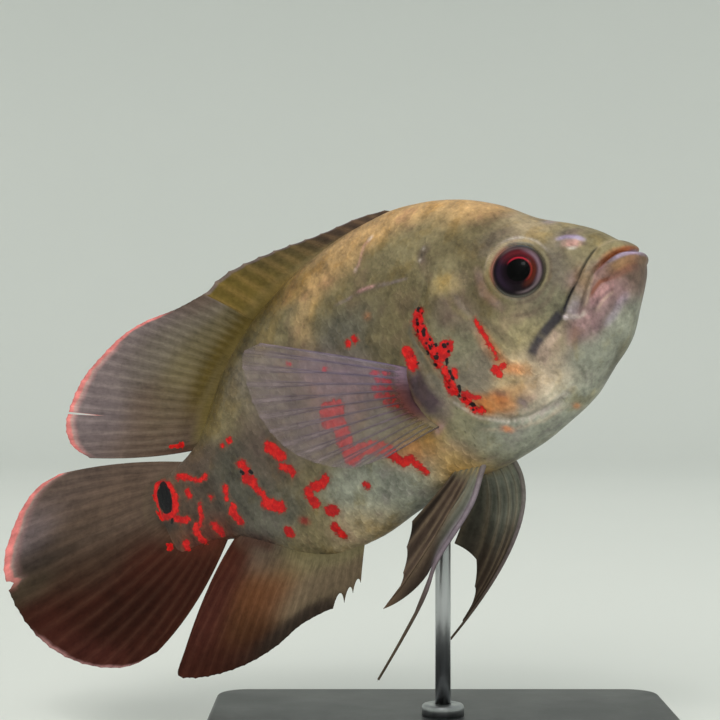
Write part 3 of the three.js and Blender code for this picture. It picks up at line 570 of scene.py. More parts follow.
# Painted strokes: half width, softness, paint, strength, then the path
strokes = [
    # the gape line: partly the mouth's own dark orange-brown, partly painted shade under the upper lip
    (0.3, 0.35, "rust", 0.85, [(2.0, -2.5), (4.4, -1.8), (6.8, -2.0), (9.5, -2.7), (13.4, -4.2)]),
    (0.15, 0.35, "umber", 0.6, [(12.6, -3.9), (16, -7.3), (20, -12.0)]),
    (0.4, 0.5, "orange", 0.3, [(3.0, -2.0), (6.2, -1.4), (9.6, -2.1)]),
    # partly the lower lip's own violet tint, partly a painted highlight along its top edge, where it catches
    # light from above
    (0.3, 0.4, "violet", 0.9, [(1.3, -4.6), (1.8, -3.8), (3.3, -3.4), (5.5, -3.2), (7.9, -3.5)]),
    (0.7, 0.9, "bark", 0.55, [(3, -5.2), (7, -5.0), (11, -6.0), (14.5, -8.4)]),
    (0.4, 0.9, "ochre", 0.45, [(2.6, -5.4), (5.6, -5.2), (8.6, -5.6)]),
    (0.15, 0.35, "cream", 0.45, [(13.3, -4.9), (15.1, -7.0), (16.4, -9.1), (18.4, -10.9)]),
    (0.9, 1.0, "khaki", 0.6, [(3.4, 0.4), (6.4, 1.3), (10, 0.2), (14, -2.8), (18, -7.0)]),
    (0.2, 0.35, "sand", 0.4, [(2.6, 0.4), (5.4, 2.0), (9.0, 1.4), (13, -1.6)]),
    (1.2, 1.6, "rose", 0.6, [(9.0, -10.4), (13, -12.4), (17.4, -14.0), (21, -16.6)]),
    (0.7, 0.8, "blush", 0.5, [(15.3, -10.9), (13.2, -9.7), (10.6, -8.9)]),
    (0.1, 0.4, "rust", 0.75, [(15.9, -9.5), (14.4, -8.4), (12.3, -7.3), (9.8, -7.4)]),
    (0.3, 0.9, "rust", 0.4, [(9.8, -7.3), (7.2, -7.1), (4.3, -6.9)]),
    (0.1, 0.3, "plum", 0.4, [(17.6, -12.9), (14.4, -10.9), (12.0, -10.2), (9.4, -10.0)]),
    (0.1, 0.3, "cream", 0.35, [(16.4, -13.2), (13.6, -11.5), (11.0, -10.8)]),
    (0.3, 0.7, "plum", 0.35, [(9.5, -11.4), (12.4, -13.2), (15.0, -15.4), (18.6, -17.6)]),
    (0.25, 0.6, "violet", 0.3, [(8.8, -12.6), (10.8, -13.8), (13.1, -15.6), (16, -17.2)]),
    (0.3, 0.8, "rose", 0.5, [(18.6, -12.6), (22.4, -14.6), (26, -17.4)]),
    (0.3, 0.7, "plum", 0.3, [(20.5, -16.4), (25, -18.4), (30, -20.6)]),
    # painted shadow: the black line in the fold between the upper jaw and the cheek
    (0.12, 0.3, "ink", 0.75, [(9.8, 1.3), (11.5, 0.3), (13.1, -0.7), (15.5, -2.6), (17.7, -5.0)]),
    (0.3, 0.25, "ink", 0.97, [(17.7, -4.8), (19.4, -6.0), (20.8, -7.1), (22.6, -8.8), (24.0, -10.0)]),
    # the streak past the fold's end: partly the fish's own dark mark, partly painted shadow of the fold
    (0.8, 0.6, "1f1c2a", 0.9, [(23.9, -9.7), (26.2, -10.7), (28.6, -11.7), (31.4, -13.0)]),
    (0.5, 0.9, "2c2936", 0.85, [(31.0, -12.9), (33.8, -14.5), (35.6, -16.0)]),
    # painted highlight on the rounded end of the upper jaw
    (0.3, 0.3, "e0d0d2", 0.9, [(23.5, -11.2), (23.9, -11.5)]),
    (0.2, 0.5, "pearl", 0.5, [(23.0, -11.6), (20.6, -12.6), (18.8, -12.4)]),
    (0.5, 0.7, "cream", 0.55, [(26.6, -13.6), (30.1, -14.9), (33.0, -16.4)]),
    (0.5, 1.0, "violet", 0.3, [(19.6, -8.6), (22.4, -11.4)]),
    (0.9, 1.4, "mauve", 0.4, [(19.4, 7.6), (16.2, 8.4), (12.6, 7.2)]),
    (0.5, 0.6, "blush", 0.65, [(16.3, 6.3), (14.6, 5.4), (13.2, 4.6)]),
    (0.22, 0.35, "violet", 0.95, [(17.7, 8.3), (15.6, 7.8), (13.3, 6.5), (11.9, 4.9)]),
    (0.25, 0.35, "pearl", 0.8, [(15.9, 4.7), (14.4, 3.9)]),
    (0.15, 0.35, "plum", 0.5, [(12.7, 4.5), (11.7, 3.4)]),
    (0.3, 0.6, "violet", 0.35, [(19.9, 15.6), (17.7, 14.0)]),
    (0.3, 0.9, "umber", 0.35, [(41.7, -3.6), (40.1, -7.6), (38.6, -11.6)]),
    # painted shade: a dark line in the chin fold
    (0.1, 0.4, "slate", 0.7, [(15.2, -21.8), (18.7, -24.2), (23.1, -27.0), (27, -29.6)]),
    (0.12, 0.35, "pearl", 0.75, [(58.9, -17.4), (55.2, -23.3), (50, -27.0), (45, -28.5), (38, -28.4),
        (31, -26.4)]),
    (0.1, 0.3, "cream", 0.5, [(57.4, -18.6), (54.2, -23.0), (49, -26.0), (42, -27.4), (35, -26.8)]),
    (0.1, 0.3, "cream", 0.45, [(56.6, -26.0), (50, -29.4), (42, -30.6), (34, -29.8)]),
    (0.12, 0.4, "taupe", 0.6, [(56.6, -21.6), (50.4, -26.0), (44, -27.9), (36.4, -27.7)]),
    (1.0, 1.3, "orange", 0.6, [(55.0, -19.4), (52.0, -21.6), (49.1, -21.9), (47.5, -24.1)]),
    (0.35, 0.5, "orange", 0.7, [(49.3, -21.6), (48.7, -22.4)]),
    (0.3, 0.5, "orange", 0.6, [(51.6, -28.2), (49.9, -29.2)]),
    (0.15, 0.4, "orange", 0.45, [(32.8, -30.5), (34.1, -30.9)]),
    (0.4, 1.2, "orange", 0.5, [(44.4, -4), (43.9, -10), (42.6, -16), (38.6, -18.6)]),
    (0.2, 0.6, "taupe", 0.5, [(46.4, 6), (45.4, -1), (45.0, -7), (44.6, -12)]),
    (0.5, 0.9, "mauve", 0.75, [(43.0, -24.3), (44.4, -25.3)]),
    (0.35, 0.6, "plum", 0.5, [(48.5, -20.0), (46.0, -21.2)]),
    (0.3, 1.4, "ochre", 0.45, [(51.7, -20.6), (47.7, -24.1)]),
    (0.7, 1.3, "umber", 0.65, [(51.4, 3.4), (50.8, 1.2)]),
    (0.2, 0.7, "olive", 0.7, [(45, -1.5), (47.7, 3.2), (48.4, 9), (47.8, 14)]),
    (0.3, 1.0, "rose", 0.4, [(36.8, -2), (39.4, 4), (38.6, 10)]),
    # painted shade along the cheek crease
    (0.2, 0.6, "umber", 0.4, [(21.6, -1.8), (25.6, -5.6), (31, -6.9), (36.6, -4.4)]),
    (0.3, 1.0, "umber", 0.4, [(26.4, 16.4), (31.4, 16.6), (36.0, 13.4)]),
    (0.1, 0.5, "storm", 0.55, [(56, 10.6), (61.4, 4.0), (60.9, -5), (60.2, -13.4)]),
    (0.5, 0.5, "crimson", 0.8, [(113.0, -23.5), (111.4, -24.8)]),
    (0.6, 0.7, "crimson", 0.45, [(157.8, -5.6), (158.0, -6.0)]),
    (0.6, 2.0, "oxblood", 0.7, [(133.5, -19.4), (129, -22), (124, -26)]),
    (0.3, 0.7, "plum", 0.35, [(63.4, 33.2), (66.2, 30.6), (68.8, 27.4)]),
    (0.1, 0.3, "blush", 0.8, [(62.3, 33.9), (65.0, 32.8), (67.7, 28.5), (69.7, 27.1)]),
    (0.28, 0.3, "e0d0c8", 0.75, [(62.2, 34.0), (63.2, 33.6)]),
    (0.15, 0.3, "e0d0c8", 0.6, [(68.9, 27.9), (69.4, 27.0)]),
    (0.3, 0.6, "plum", 0.4, [(72.0, 20.9), (69.0, 20.9), (66.0, 20.2), (62.4, 19.2)]),
    (0.08, 0.3, "mauve", 0.8, [(77.9, 21.6), (74.5, 21.0), (72.6, 21.1)]),
    (0.1, 0.3, "blush", 0.6, [(70.6, 21.4), (68.6, 21.1), (65.6, 20.4)]),
    (0.08, 0.3, "mauve", 0.7, [(64.4, 19.9), (61.0, 18.6), (56.4, 17.4)]),
    (0.5, 0.8, "plum", 0.5, [(48.4, 23.0), (50.6, 21.2), (51.2, 18.9)]),
    (0.15, 0.3, "pearl", 0.5, [(49.3, 22.9), (49.7, 22.5)]),
    (0.12, 0.3, "pearl", 0.5, [(51.3, 20.4), (51.5, 19.9)]),
    (0.1, 0.25, "ink", 0.5, [(50.2, 21.9), (50.7, 20.9)]),
    (0.4, 0.7, "orange", 0.55, [(70.6, 14.2), (70.5, 13.6)]),
    (1.0, 1.4, "a8905e", 0.6, [(45.8, 10.2), (48.6, 11.4), (50.2, 11.0)]),
    (0.5, 1.1, "soot", 0.75, [(145, 7.0), (150, 6.4), (153.0, 1), (152.6, -4), (150, -6.6), (145, -8.6)]),
    (1.3, 1.3, "3b2d33", 0.95, [(65.2, -5.6), (65.5, -11), (63.4, -17.6)]),
    (0.4, 0.8, "maroon", 0.55, [(67.0, -4.6), (68.8, -10), (67.4, -15)]),
    (0.3, 0.7, "rose", 0.7, [(64.6, -20.2), (67.6, -21.4)]),
    (0.1, 0.25, "plum", 0.5, [(66.2, -7.6), (63.4, -7.0)]),
    (0.1, 0.25, "plum", 0.5, [(66.6, -10.4), (62.8, -10.4)]),
    (0.1, 0.25, "plum", 0.5, [(66.9, -13.0), (63.0, -13.8)]),
    (0.1, 0.25, "plum", 0.5, [(67.4, -15.8), (63.8, -17.2)]),
    (1.4, 2.6, "orange", 0.3, [(80, -21), (73, -23.6)]),
    (1.4, 2.6, "bronze", 0.85, [(90, 37), (104, 31.6), (114, 26.4), (124, 17.6), (134, 9.6)]),
    (1.0, 2.4, "umber", 0.6, [(136, 9.6), (144, 8.0)]),
    (0.8, 3.0, "olive", 0.5, [(62, 28), (70, 29), (76, 23)]),
    (1.0, 3.2, "slate", 0.5, [(68, 15.5), (75, 14), (79.5, 19.5)]),
    (1.0, 2.4, "tan", 0.35, [(72, 34.6), (82, 30), (89, 23), (90.6, 16)]),
    (0.8, 2.4, "tan", 0.4, [(58, 33.4), (66, 33.6), (73, 29.4)]),
    (1.0, 2.0, "darkOlive", 0.5, [(94, 20), (98, 10), (97, 0)]),
]

# Rings round the eye, in mm from its middle; some are painted shade in the lower front of the socket and a
# painted highlight along the top of its rim
orbitRings = [
    # painted shade on the socket's lower front side
    (7.2, 1.0, "storm", 0.6, -40, 0.0),
    (7.8, 0.7, "khaki", 0.6, 0, 0.0),
    (7.9, 1.0, "khaki", 0.4, 200, 0.0),
    # painted shade on the socket's lower front side
    (8.5, 0.4, "umber", 0.6, -30, 0.2),
    (7.3, 0.35, "taupe", 0.7, -95, 0.3),
    (7.0, 0.4, "salmon", 0.9, 155, 0.35),
    (7.25, 0.5, "ash", 0.9, 92, 0.8),
    (7.8, 0.5, "sand", 0.6, 122, 0.4),
    (8.6, 0.3, "cream", 0.45, 140, 0.5),
    # painted highlight along the top of the rim
    (8.7, 0.32, "pearl", 0.95, 82, 0.62),
]

# Vermilion marks, and black ones over them: half width, then the path
redMarks = {
    "gillTop": (1.05, [(56.8, 7.4), (57.7, 6.2)]),
    "gillChain": (1.45, [(58.3, 5.2), (58.4, 2.6), (58.2, -0.1), (57.7, -2.6), (57.6, -5.0)]),
    "gillEnd": (1.0, [(57.9, -5.2), (58.1, -7.0)]),
    "gillHook": (1.3, [(57.2, -4.2), (55.2, -3.9), (53.4, -3.7)]),
    "gillPalm": (1.1, [(53.6, -4.6), (56.4, -5.8)]),
    "gillDrop": (1.15, [(57.2, -9.2), (57.6, -12.0), (57.7, -14.8)]),
    "gillBead": (0.7, [(54.9, -10.4), (55.6, -11.6)]),
    "gillFoot": (1.2, [(55.7, -17.2), (55.9, -18.4)]),
    "gillTip": (0.5, [(54.5, -17.8), (52.9, -19.1)]),
    "gillToe": (0.9, [(55.3, -20.9), (54.0, -22.0)]),
    "shoulderBlob": (1.35, [(64.2, 0.1), (63.8, -2.0), (64.3, -4.2)]),
    "preopLine": (0.5, [(44.3, -1.6), (44.1, -4.1), (43.8, -7.1)]),
    "preopThread": (0.38, [(43.8, -7.1), (43.5, -10.1), (43.7, -12.8)]),
    "preopBlob": (1.1, [(45.2, -15.2), (45.2, -16.2)]),
    "preopSide": (0.5, [(43.5, -14.9), (43.0, -15.2)]),
    "sideSpot": (0.65, [(76.2, 10.8), (76.3, 9.6)]),
    "sideSpotRear": (0.6, [(78.4, 10.2), (78.6, 9.6)]),
    "finBack": (1.9, [(88.4, -3.4), (92.0, -2.2), (93.0, -5.4)]),
    "finBackFill": (2.3, [(91.0, -4.6), (90.4, -8.0), (91.0, -11.0)]),
    "finBackLow": (2.0, [(90.4, -11.0), (91.2, -13.4), (91.4, -16.6)]),
    "finBackHook": (1.6, [(90.9, -16.6), (87.9, -15.6), (83.7, -17.1), (80.9, -20.0)]),
    "breastChain": (1.1, [(80.9, -21.2), (79.6, -23.6), (77.4, -23.9)]),
    "breastTail": (0.8, [(77.1, -24.2), (76.4, -26.4), (75.6, -28.0)]),
    "finStreakA": (0.5, [(75.6, 0.0), (71.4, -2.6)]),
    "finStreakB": (0.6, [(75.3, -2.3), (71.9, -4.8)]),
    "finStreakC": (0.7, [(76.8, -4.0), (73.0, -6.4)]),
    "finStreakD": (0.7, [(77.2, -6.2), (73.2, -8.5)]),
    "finStreakE": (0.55, [(76.2, -8.6), (73.2, -10.6)]),
    "bellyDot": (0.65, [(91.7, -24.1), (91.5, -24.5)]),
    "upperDot": (0.5, [(97.3, 14.3), (96.6, 13.9)]),
    "upperDotTwo": (0.45, [(87.7, 7.4), (87.3, 7.2)]),
    "rearBlob": (1.5, [(112.1, -2.6), (111.0, -4.4), (109.9, -6.4)]),
    "rearBlobTail": (0.85, [(111.2, -9.0), (109.6, -10.2), (108.8, -12.2)]),
    "chainTop": (1.0, [(122.5, -2.3), (121.3, -3.2), (121.1, -4.6)]),
    "chainMiddle": (1.1, [(122.3, -6.4), (121.6, -7.6), (120.8, -8.4)]),
    "chainLink": (0.8, [(121.2, -9.3), (120.5, -11.1), (119.6, -13.2)]),
    "chainFoot": (1.5, [(119.9, -15.0), (118.8, -16.2), (116.7, -17.9)]),
    "lowHook": (1.18, [(100.8, -17.5), (103.2, -18.2), (105.2, -17.9)]),
    "lowHookFoot": (1.18, [(107.1, -18.3), (107.5, -19.8), (107.0, -21.8)]),
    "lowDot": (1.48, [(104.1, -25.3), (103.4, -25.6)]),
    "lowTail": (0.88, [(105.4, -29.0), (105.0, -30.7), (104.5, -32.0)]),
    "lowRound": (1.13, [(117.9, -24.3), (117.9, -25.0)]),
    "stemBarTop": (0.81, [(141.5, 4.0), (139.5, 2.6)]),
    "stemBarMiddle": (0.56, [(139.5, 2.6), (137.6, 1.0), (135.9, -0.6), (133.5, -0.4)]),
    "stemDot": (0.76, [(140.2, -1.5), (140.1, -3.0)]),
    "stemBead": (0.51, [(134.3, -5.8), (134.2, -6.3)]),
    "stemBar": (0.71, [(129.4, -5.9), (129.8, -7.5), (130.5, -9.0)]),
    "stemFork": (0.96, [(129.5, -11.3), (130.4, -12.4), (130.0, -14.3), (129.6, -15.8)]),
    "stemLine": (0.56, [(138.2, -6.4), (139.4, -9.0), (140.9, -11.0)]),
    "stemLineLow": (0.81, [(142.0, -10.8), (142.8, -12.4), (142.8, -14.6), (142.2, -15.6)]),
    "stemDrop": (0.86, [(137.1, -12.9), (137.0, -14.1), (136.6, -15.4)]),
    "stemFoot": (1.01, [(147.0, -13.2), (147.8, -14.4)]),
    "finRed": (0.8, [(138.2, 12.0), (137.8, 11.6)]),
    "finRedTail": (0.4, [(141.5, 13.0), (139.0, 12.2)]),
    "tailDot": (0.95, [(152.3, -11.6), (152.4, -12.1)]),
    "rearSpeckA": (0.65, [(122.6, 5.2), (122.5, 4.6)]),
    "rearSpeckB": (0.65, [(125.0, 4.8), (125.0, 4.3)]),
    "ocellusRing": (0.72, [(148.2, 5.2), (145.4, 3.8), (144.6, 0.4), (144.7, -2.6), (147.0, -4.7),
        (149.4, -4.6),
                          (151.3, -3.6), (151.4, -0.8), (150.4, 2.6), (148.9, 4.6), (148.2, 5.2)]),
    "ocellusFoot": (1.0, [(150.7, -3.9), (147.4, -4.6)]),
    "ocellusSide": (0.9, [(144.9, -1.0), (145.8, -4.0)]),
    "ocellusTail": (0.8, [(146.6, -6.4), (145.6, -7.4), (143.6, -8.2)]),
}
inkMarks = {
    "ocellusTop": (1.3, [(147.0, 3.8), (147.4, 2.0)]),
    "ocellus": (2.3, [(147.6, 1.6), (148.0, -0.9)]),
    "ocellusLow": (1.7, [(148.0, -0.9), (148.1, -2.4)]),
    "ocellusNotch": (0.4, [(148.4, -6.6), (148.0, -6.0)]),
    "chainGap": (0.5, [(122.9, -4.4), (122.4, -5.2)]),
    "chainGapRear": (0.45, [(120.4, -5.6), (120.0, -6.2)]),
    "tip": (0.35, [(56.5, 8.5), (56.9, 7.8)]),
    "dotA": (0.45, [(58.6, 5.3), (58.5, 4.9)]),
    "dotB": (0.38, [(57.3, 4.6), (57.2, 4.3)]),
    "dotC": (0.42, [(59.3, 3.5), (59.2, 3.0)]),
    "dotD": (0.5, [(57.6, 2.8), (58.2, 1.4)]),
    "dotE": (0.32, [(57.2, 0.0), (57.1, -0.4)]),
    "dotF": (0.45, [(56.5, -2.1), (56.3, -2.5)]),
    "dotG": (0.4, [(58.1, -1.8), (58.1, -2.4)]),
    "dotH": (0.58, [(54.6, -3.5), (54.2, -3.9)]),
    "dotI": (0.42, [(59.4, -2.5), (59.3, -3.1)]),
    "dotJ": (0.6, [(58.0, -5.0), (57.5, -5.3)]),
    "dotK": (0.38, [(59.1, -6.4), (58.8, -6.8)]),
    "dotM": (0.4, [(55.4, -6.9), (55.9, -8.0)]),
    "dotN": (0.42, [(56.3, -9.9), (56.3, -10.5)]),
    "dotO": (0.45, [(56.5, -11.4), (56.2, -12.0)]),
    "gapHigh": (0.4, [(55.8, -14.2), (56.2, -15.4)]),
    "gapLow": (0.32, [(57.0, -15.9), (57.2, -16.4)]),
    "dotP": (0.55, [(55.4, -19.5), (55.0, -19.9)]),
    "blobDot": (0.32, [(63.2, -4.2), (62.6, -4.5)]),
    "blobDotHigh": (0.3, [(63.4, -1.4), (63.3, -1.8)]),
}


def nearBox(place, path, margin):
    # which places lie in the box round a path, widened by the margin
    return ((place > path.min(0) - margin) & (place < path.max(0) + margin)).all(1)


def markDepth(place, marks):
    # how deep inside the nearest mark each point lies, in mm; negative outside
    depth = np.full(len(place), -2.0)
    for half, path in marks.values():
        path = np.array(path, float)
        near = nearBox(place, path, half + 2)
        if near.any():
            gap, _, _ = nearest(place[near], path)
            depth[near] = np.maximum(depth[near], half - gap)
    return depth


def wander(place, size, seed):
    # a slow drift of places, so that the two flanks differ
    s, h = place.T
    forward = np.sin(h / 7 + seed) + np.sin(s / 11 + 2 * seed)
    return place + size * np.stack([forward, np.sin(s / 8 - seed) + 0.6 * np.cos(h / 6 + seed)], 1)


def blend(tone, name, cover):
    return tone * (1 - cover[..., None]) + cover[..., None] * paint(name)


def patchTone(first, second, soft, plain, share):
    # soft patches, each weighed by its nearness, over a small share of a plain paint
    weight = np.full(first.shape, share)
    tone = np.zeros((*first.shape, 3)) + share * paint(plain)
    for atFirst, atSecond, reachFirst, reachSecond, name, bright in soft:
        near = np.exp(-(((first - atFirst) / reachFirst) ** 2) - ((second - atSecond) / reachSecond) ** 2)
        weight = weight + near
        tone = tone + near[..., None] * paint(name) * bright
    return tone / weight[..., None]


def ringTone(tone, rings, reach, turn):
    # rings: reach, width, paint, strength, the side it lies on as seen, how far it reaches round
    for radius, width, name, strength, toward, least in rings:
        facing = smooth(least, 0.97, np.cos(turn - math.radians(toward)))
        tone = blend(tone, name, np.exp(-(((reach - radius) / width) ** 2)) * strength * facing)
    return tone


def fleshTone(place):
    spread = wander(place, 0.7, 1.3)
    tone = patchTone(spread[:, 0], spread[:, 1], patches, "olive", 0.02)
    for half, soft, name, strength, path in strokes:
        path = np.array(path, float)
        near = nearBox(place, path, half + 2 * soft)
        if near.any():
            gap, share, _ = nearest(place[near], path)
            edge = np.maximum(0, gap - half) / soft
            taper = np.minimum(1, 4 * share * (1 - share) + 0.45)
            tone[near] = blend(tone[near], name, strength * taper * np.exp(-(edge**2)))
    off = place - np.array(head["eye"])
    reach = np.hypot(off[:, 0] / 0.97, off[:, 1])
    turn = np.arctan2(off[:, 1], -off[:, 0]) + math.radians(fish["pitch"])
    return ringTone(tone, orbitRings, reach, turn)


# Meshes
def makeMesh(name, points, faces):
    # faces: arrays of quads and of triangles
    mesh = bpy.data.meshes.new(name)
    blocks = [np.asarray(block, np.int32) for block in faces if len(block)]
    loops = np.concatenate([block.ravel() for block in blocks])
    sizes = np.concatenate([np.full(len(block), block.shape[1]) for block in blocks])
    mesh.vertices.add(len(points))
    mesh.vertices.foreach_set("co", np.asarray(points, np.float32).ravel())
    mesh.loops.add(len(loops))
    mesh.loops.foreach_set("vertex_index", loops)
    mesh.polygons.add(len(sizes))
    mesh.polygons.foreach_set("loop_start", np.append(0, np.cumsum(sizes)[:-1]).astype(np.int32))
    mesh.update(calc_edges=True)
    mesh.polygons.foreach_set("use_smooth", np.ones(len(sizes), bool))
    mesh.validate()
    return mesh


def facesOut(mesh):
    # turns the whole mesh if it is inside out
    points = pointsOf(mesh)
    mesh.calc_loop_triangles()
    corners = np.empty(len(mesh.loop_triangles) * 3, np.int32)
    mesh.loop_triangles.foreach_get("vertices", corners)
    a, b, c = points[corners.reshape(-1, 3)].transpose(1, 0, 2)
    if np.einsum("ij,ij->i", a - points[0], np.cross(b - points[0], c - points[0])).sum() < 0:
        mesh.flip_normals()


def makePiece(name, mesh, material=None):
    piece = bpy.data.objects.new(name, mesh)
    scene.collection.objects.link(piece)
    if material:
        mesh.materials.clear()
        mesh.materials.append(material)
    return piece


def pointsOf(mesh):
    points = np.empty(len(mesh.vertices) * 3, np.float32)
    mesh.vertices.foreach_get("co", points)
    return points.reshape(-1, 3).astype(float)


def storePoints(mesh, name, values):
    kind, field = ("FLOAT_COLOR", "color") if values.ndim == 2 else ("FLOAT", "value")
    if values.ndim == 2:
        values = np.hstack([values, np.ones((len(values), 1))])
    layer = mesh.attributes.new(name, kind, "POINT")
    layer.data.foreach_set(field, values.astype(np.float32).ravel())


def storeUnwrap(mesh, name, perPoint=None, perLoop=None):
    layer = mesh.uv_layers.new(name=name)
    if perLoop is None:
        loops = np.empty(len(mesh.loops), np.int32)
        mesh.loops.foreach_get("vertex_index", loops)
        perLoop = perPoint[loops]
    layer.data.foreach_set("uv", perLoop.astype(np.float32).ravel())


def gridFaces(rows, columns, closed=False):
    # quads of a grid of points, row by row; a closed one joins its last column to its first
    index = np.arange(rows * columns).reshape(rows, columns)
    if closed:
        index = np.hstack([index, index[:, :1]])
    return np.stack([index[:-1, :-1], index[:-1, 1:], index[1:, 1:], index[1:, :-1]], -1).reshape(-1, 4)


def cappedFaces(rows, columns):
    # faces of a closed grid of points, and of the two poles that follow its points
    size = rows * columns
    ring = np.arange(columns)
    after = np.roll(ring, -1)
    first = np.stack([np.full(columns, size), after, ring], 1)
    last = np.stack([np.full(columns, size + 1), ring + size - columns, after + size - columns], 1)
    return [gridFaces(rows, columns, closed=True), first, last]


def storeMarks(mesh, kinds, shiftedFrom):
    # depth in each kind of mark; on the left flank the marks drift, further back than shiftedFrom
    place, y = flankPlace(pointsOf(mesh))
    drifting = (y > 0) & (place[:, 0] > shiftedFrom)
    spots = np.where(drifting[:, None], wander(place, 2.2, 4.1), place)
    for label, marks in kinds.items():
        storePoints(mesh, label, markDepth(spots, marks))


def dress(mesh):
    # the markings of the flesh, together with the painted light and shade in its tone, from where each point
    # lies on the flank
    dotted = {name: mark for name, mark in redMarks.items() if name.startswith("gill")}
    storePoints(mesh, "tone", fleshTone(flankPlace(pointsOf(mesh))[0]))
    storeMarks(mesh, {"red": redMarks, "inky": inkMarks, "dotted": dotted}, fish["driftFrom"])


# Node trees: a sum or product of wires adds a Math node
class Wire:
    def __init__(self, tree, socket=None):
        self.tree, self.socket = tree, socket

    def add(self, kind, values=None, out=0, **settings):
        made = self.tree.nodes.new(kind)
        for name, value in settings.items():
            setattr(made, name, value)
        for key, value in (values or {}).items():
            if isinstance(value, Wire):
                self.tree.links.new(value.socket, made.inputs[key])
            else:
                made.inputs[key].default_value = value
        return Wire(self.tree, made.outputs[out] if len(made.outputs) else None)

    def maths(self, operation, first, second=0.0):
        return self.add("ShaderNodeMath", {0: first, 1: second}, operation=operation)

    def __add__(self, other):
        return self.maths("ADD", self, other)

    __radd__ = __add__

    def __sub__(self, other):
        return self.maths("SUBTRACT", self, other)

    def __rsub__(self, other):
        return self.maths("SUBTRACT", other, self)

    def __mul__(self, other):
        return self.maths("MULTIPLY", self, other)

    __rmul__ = __mul__

    def step(self, low, high, start=0.0, end=1.0):
        # a smooth step between two values
        values = {0: self, 1: low, 2: high, 3: start, 4: end}
        return self.add("ShaderNodeMapRange", values, interpolation_type="SMOOTHSTEP")

    def mixed(self, other, share, way="MIX"):
        # this colour, with a share of another
        other = other if isinstance(other, Wire) else rgba(other)
        values = {0: share, 6: self, 7: other}
        return self.add("ShaderNodeMix", values, out=2, data_type="RGBA", blend_type=way)

    def between(self, low, high):
        # a paint between two, by this share
        return self.add("ShaderNodeMix", {0: self, 6: rgba(low), 7: rgba(high)}, out=2, data_type="RGBA")

    def scaled(self, value):
        return self.add("ShaderNodeVectorMath", {0: self, 3: value}, operation="SCALE")

    def noise(self, place, scale, detail=3.0, roughness=0.55, stretch=None):
        if stretch:
            place = self.add("ShaderNodeMapping", {0: place, 3: stretch})
        values = {"Vector": place, "Scale": scale, "Detail": detail, "Roughness": roughness}
        return self.add("ShaderNodeTexNoise", values)

    def attribute(self, name, out=2):
        return self.add("ShaderNodeAttribute", out=out, attribute_name=name)


def newMaterial(name, fixed):
    # a material, its shader, and a wire to build with; fixed values sit on the shader's own sockets
    material = bpy.data.materials.new(name)
    material.use_nodes = True
    tree = material.node_tree
    shader = tree.nodes["Principled BSDF"]
    for socket, value in fixed.items():
        shader.inputs[socket].default_value = value
    return material, shader, Wire(tree)


def plug(shader, values):
    tree = shader.id_data
    for socket, wire in values.items():
        tree.links.new(wire.socket, shader.inputs[socket])


flesh = {
    "fixed": {"Coat Weight": 0.05, "Coat Roughness": 0.25, "Specular IOR Level": 0.22},
    "blotch": 70.0,
    "fleck": 300.0,
    "grain": 1000.0,
    "dots": 520.0,
    "ragged": 820.0,
    "gain": 0.93,
    "rimLight": 0.12,
    "roughness": 0.45,
    "bump": 0.0004,
}


def redInside(red, ragged, fleck):
    # a ragged edge for the red marks, and their own mottled paint
    inside = red + (ragged - 0.5) * 2.6 + (fleck - 0.5) * 1.2
    tone = ragged.step(0.42, 0.62).between("vermilion", "ember")
    return inside, tone.mixed("crimson", fleck.step(0.5, 0.62) * 0.6)


def fleshMaterial():
    material, shader, w = newMaterial("oscarFlesh", flesh["fixed"])
    place = w.add("ShaderNodeTexCoord", out=3)
    tone, shade = w.attribute("tone", 0), w.attribute("shade")
    red, inky = w.attribute("red"), w.attribute("inky")
    blotch = w.noise(place, flesh["blotch"], 4.0)
    other = w.noise(place, flesh["blotch"] * 1.7, 4.0, 0.6, (1.0, 1.4, 0.7))
    fleck = w.noise(place, flesh["fleck"], 3.0, 0.6)
    grain = w.noise(place, flesh["grain"], 2.0, 0.6)
    ragged = w.noise(place, flesh["ragged"], 4.0, 0.65)
    tilted = w.add("ShaderNodeMapping", {0: place, 2: (0.5, 0.6, 0.4)})
    slant = w.noise(tilted, 260.0, 3.0, 0.65, (1.0, 1.0, 0.3))
    bright = 1 + (blotch - 0.5) * 0.8 + (fleck - 0.5) * 1.0 + (slant - 0.5) * 1.3 + (grain - 0.5) * 0.8
    bright = bright - blotch.step(0.52, 0.7) * 0.18 + (fleck * 0.5 + blotch * 0.5).step(0.55, 0.68) * 0.22
    colour = tone.scaled((bright + shade * 0.1) * flesh["gain"])
    colour = colour.mixed("tintMauve", other.step(0.53, 0.68) * 0.5, "MULTIPLY")
    colour = colour.mixed("tintGold", other.step(0.5, 0.34) * 0.5, "MULTIPLY")
    inside, redTone = redInside(red, ragged, fleck)
    colour = colour.mixed("rust", inside.step(-1.2, 0.0) * 0.35)
    colour = colour.mixed("crimson", inside.step(-0.35, 0.0) * 0.85)
    colour = colour.mixed(redTone, inside.step(-0.1, 0.25) * 0.95)
    dots = w.add("ShaderNodeTexVoronoi", {"Vector": place, "Scale": flesh["dots"]}, out=0)
    dotted = w.maths("MINIMUM", 0.22 - dots, w.attribute("dotted"))
    dark = w.maths("MAXIMUM", inky + (ragged - 0.5) * 1.3, dotted)
    colour = colour.mixed("ink", dark.step(-0.1, 0.1) * 0.98)
    # painted highlight: the rear edges of the scales (rim) are lightened against the shade along their edges
    colour = colour.scaled(1 + w.attribute("rim") * flesh["rimLight"])
    rough = flesh["roughness"] + (fleck - 0.5) * 0.3 + (grain - 0.5) * 0.2
    height = fleck * 0.6 + grain * 0.35 + slant * 0.6
    bump = w.add("ShaderNodeBump", {"Strength": 0.5, "Distance": flesh["bump"], "Height": height})
    plug(shader, {"Base Color": colour, "Roughness": rough, "Normal": bump})
    return material


fleshFinish = fleshMaterial()
print("flesh finish ready")


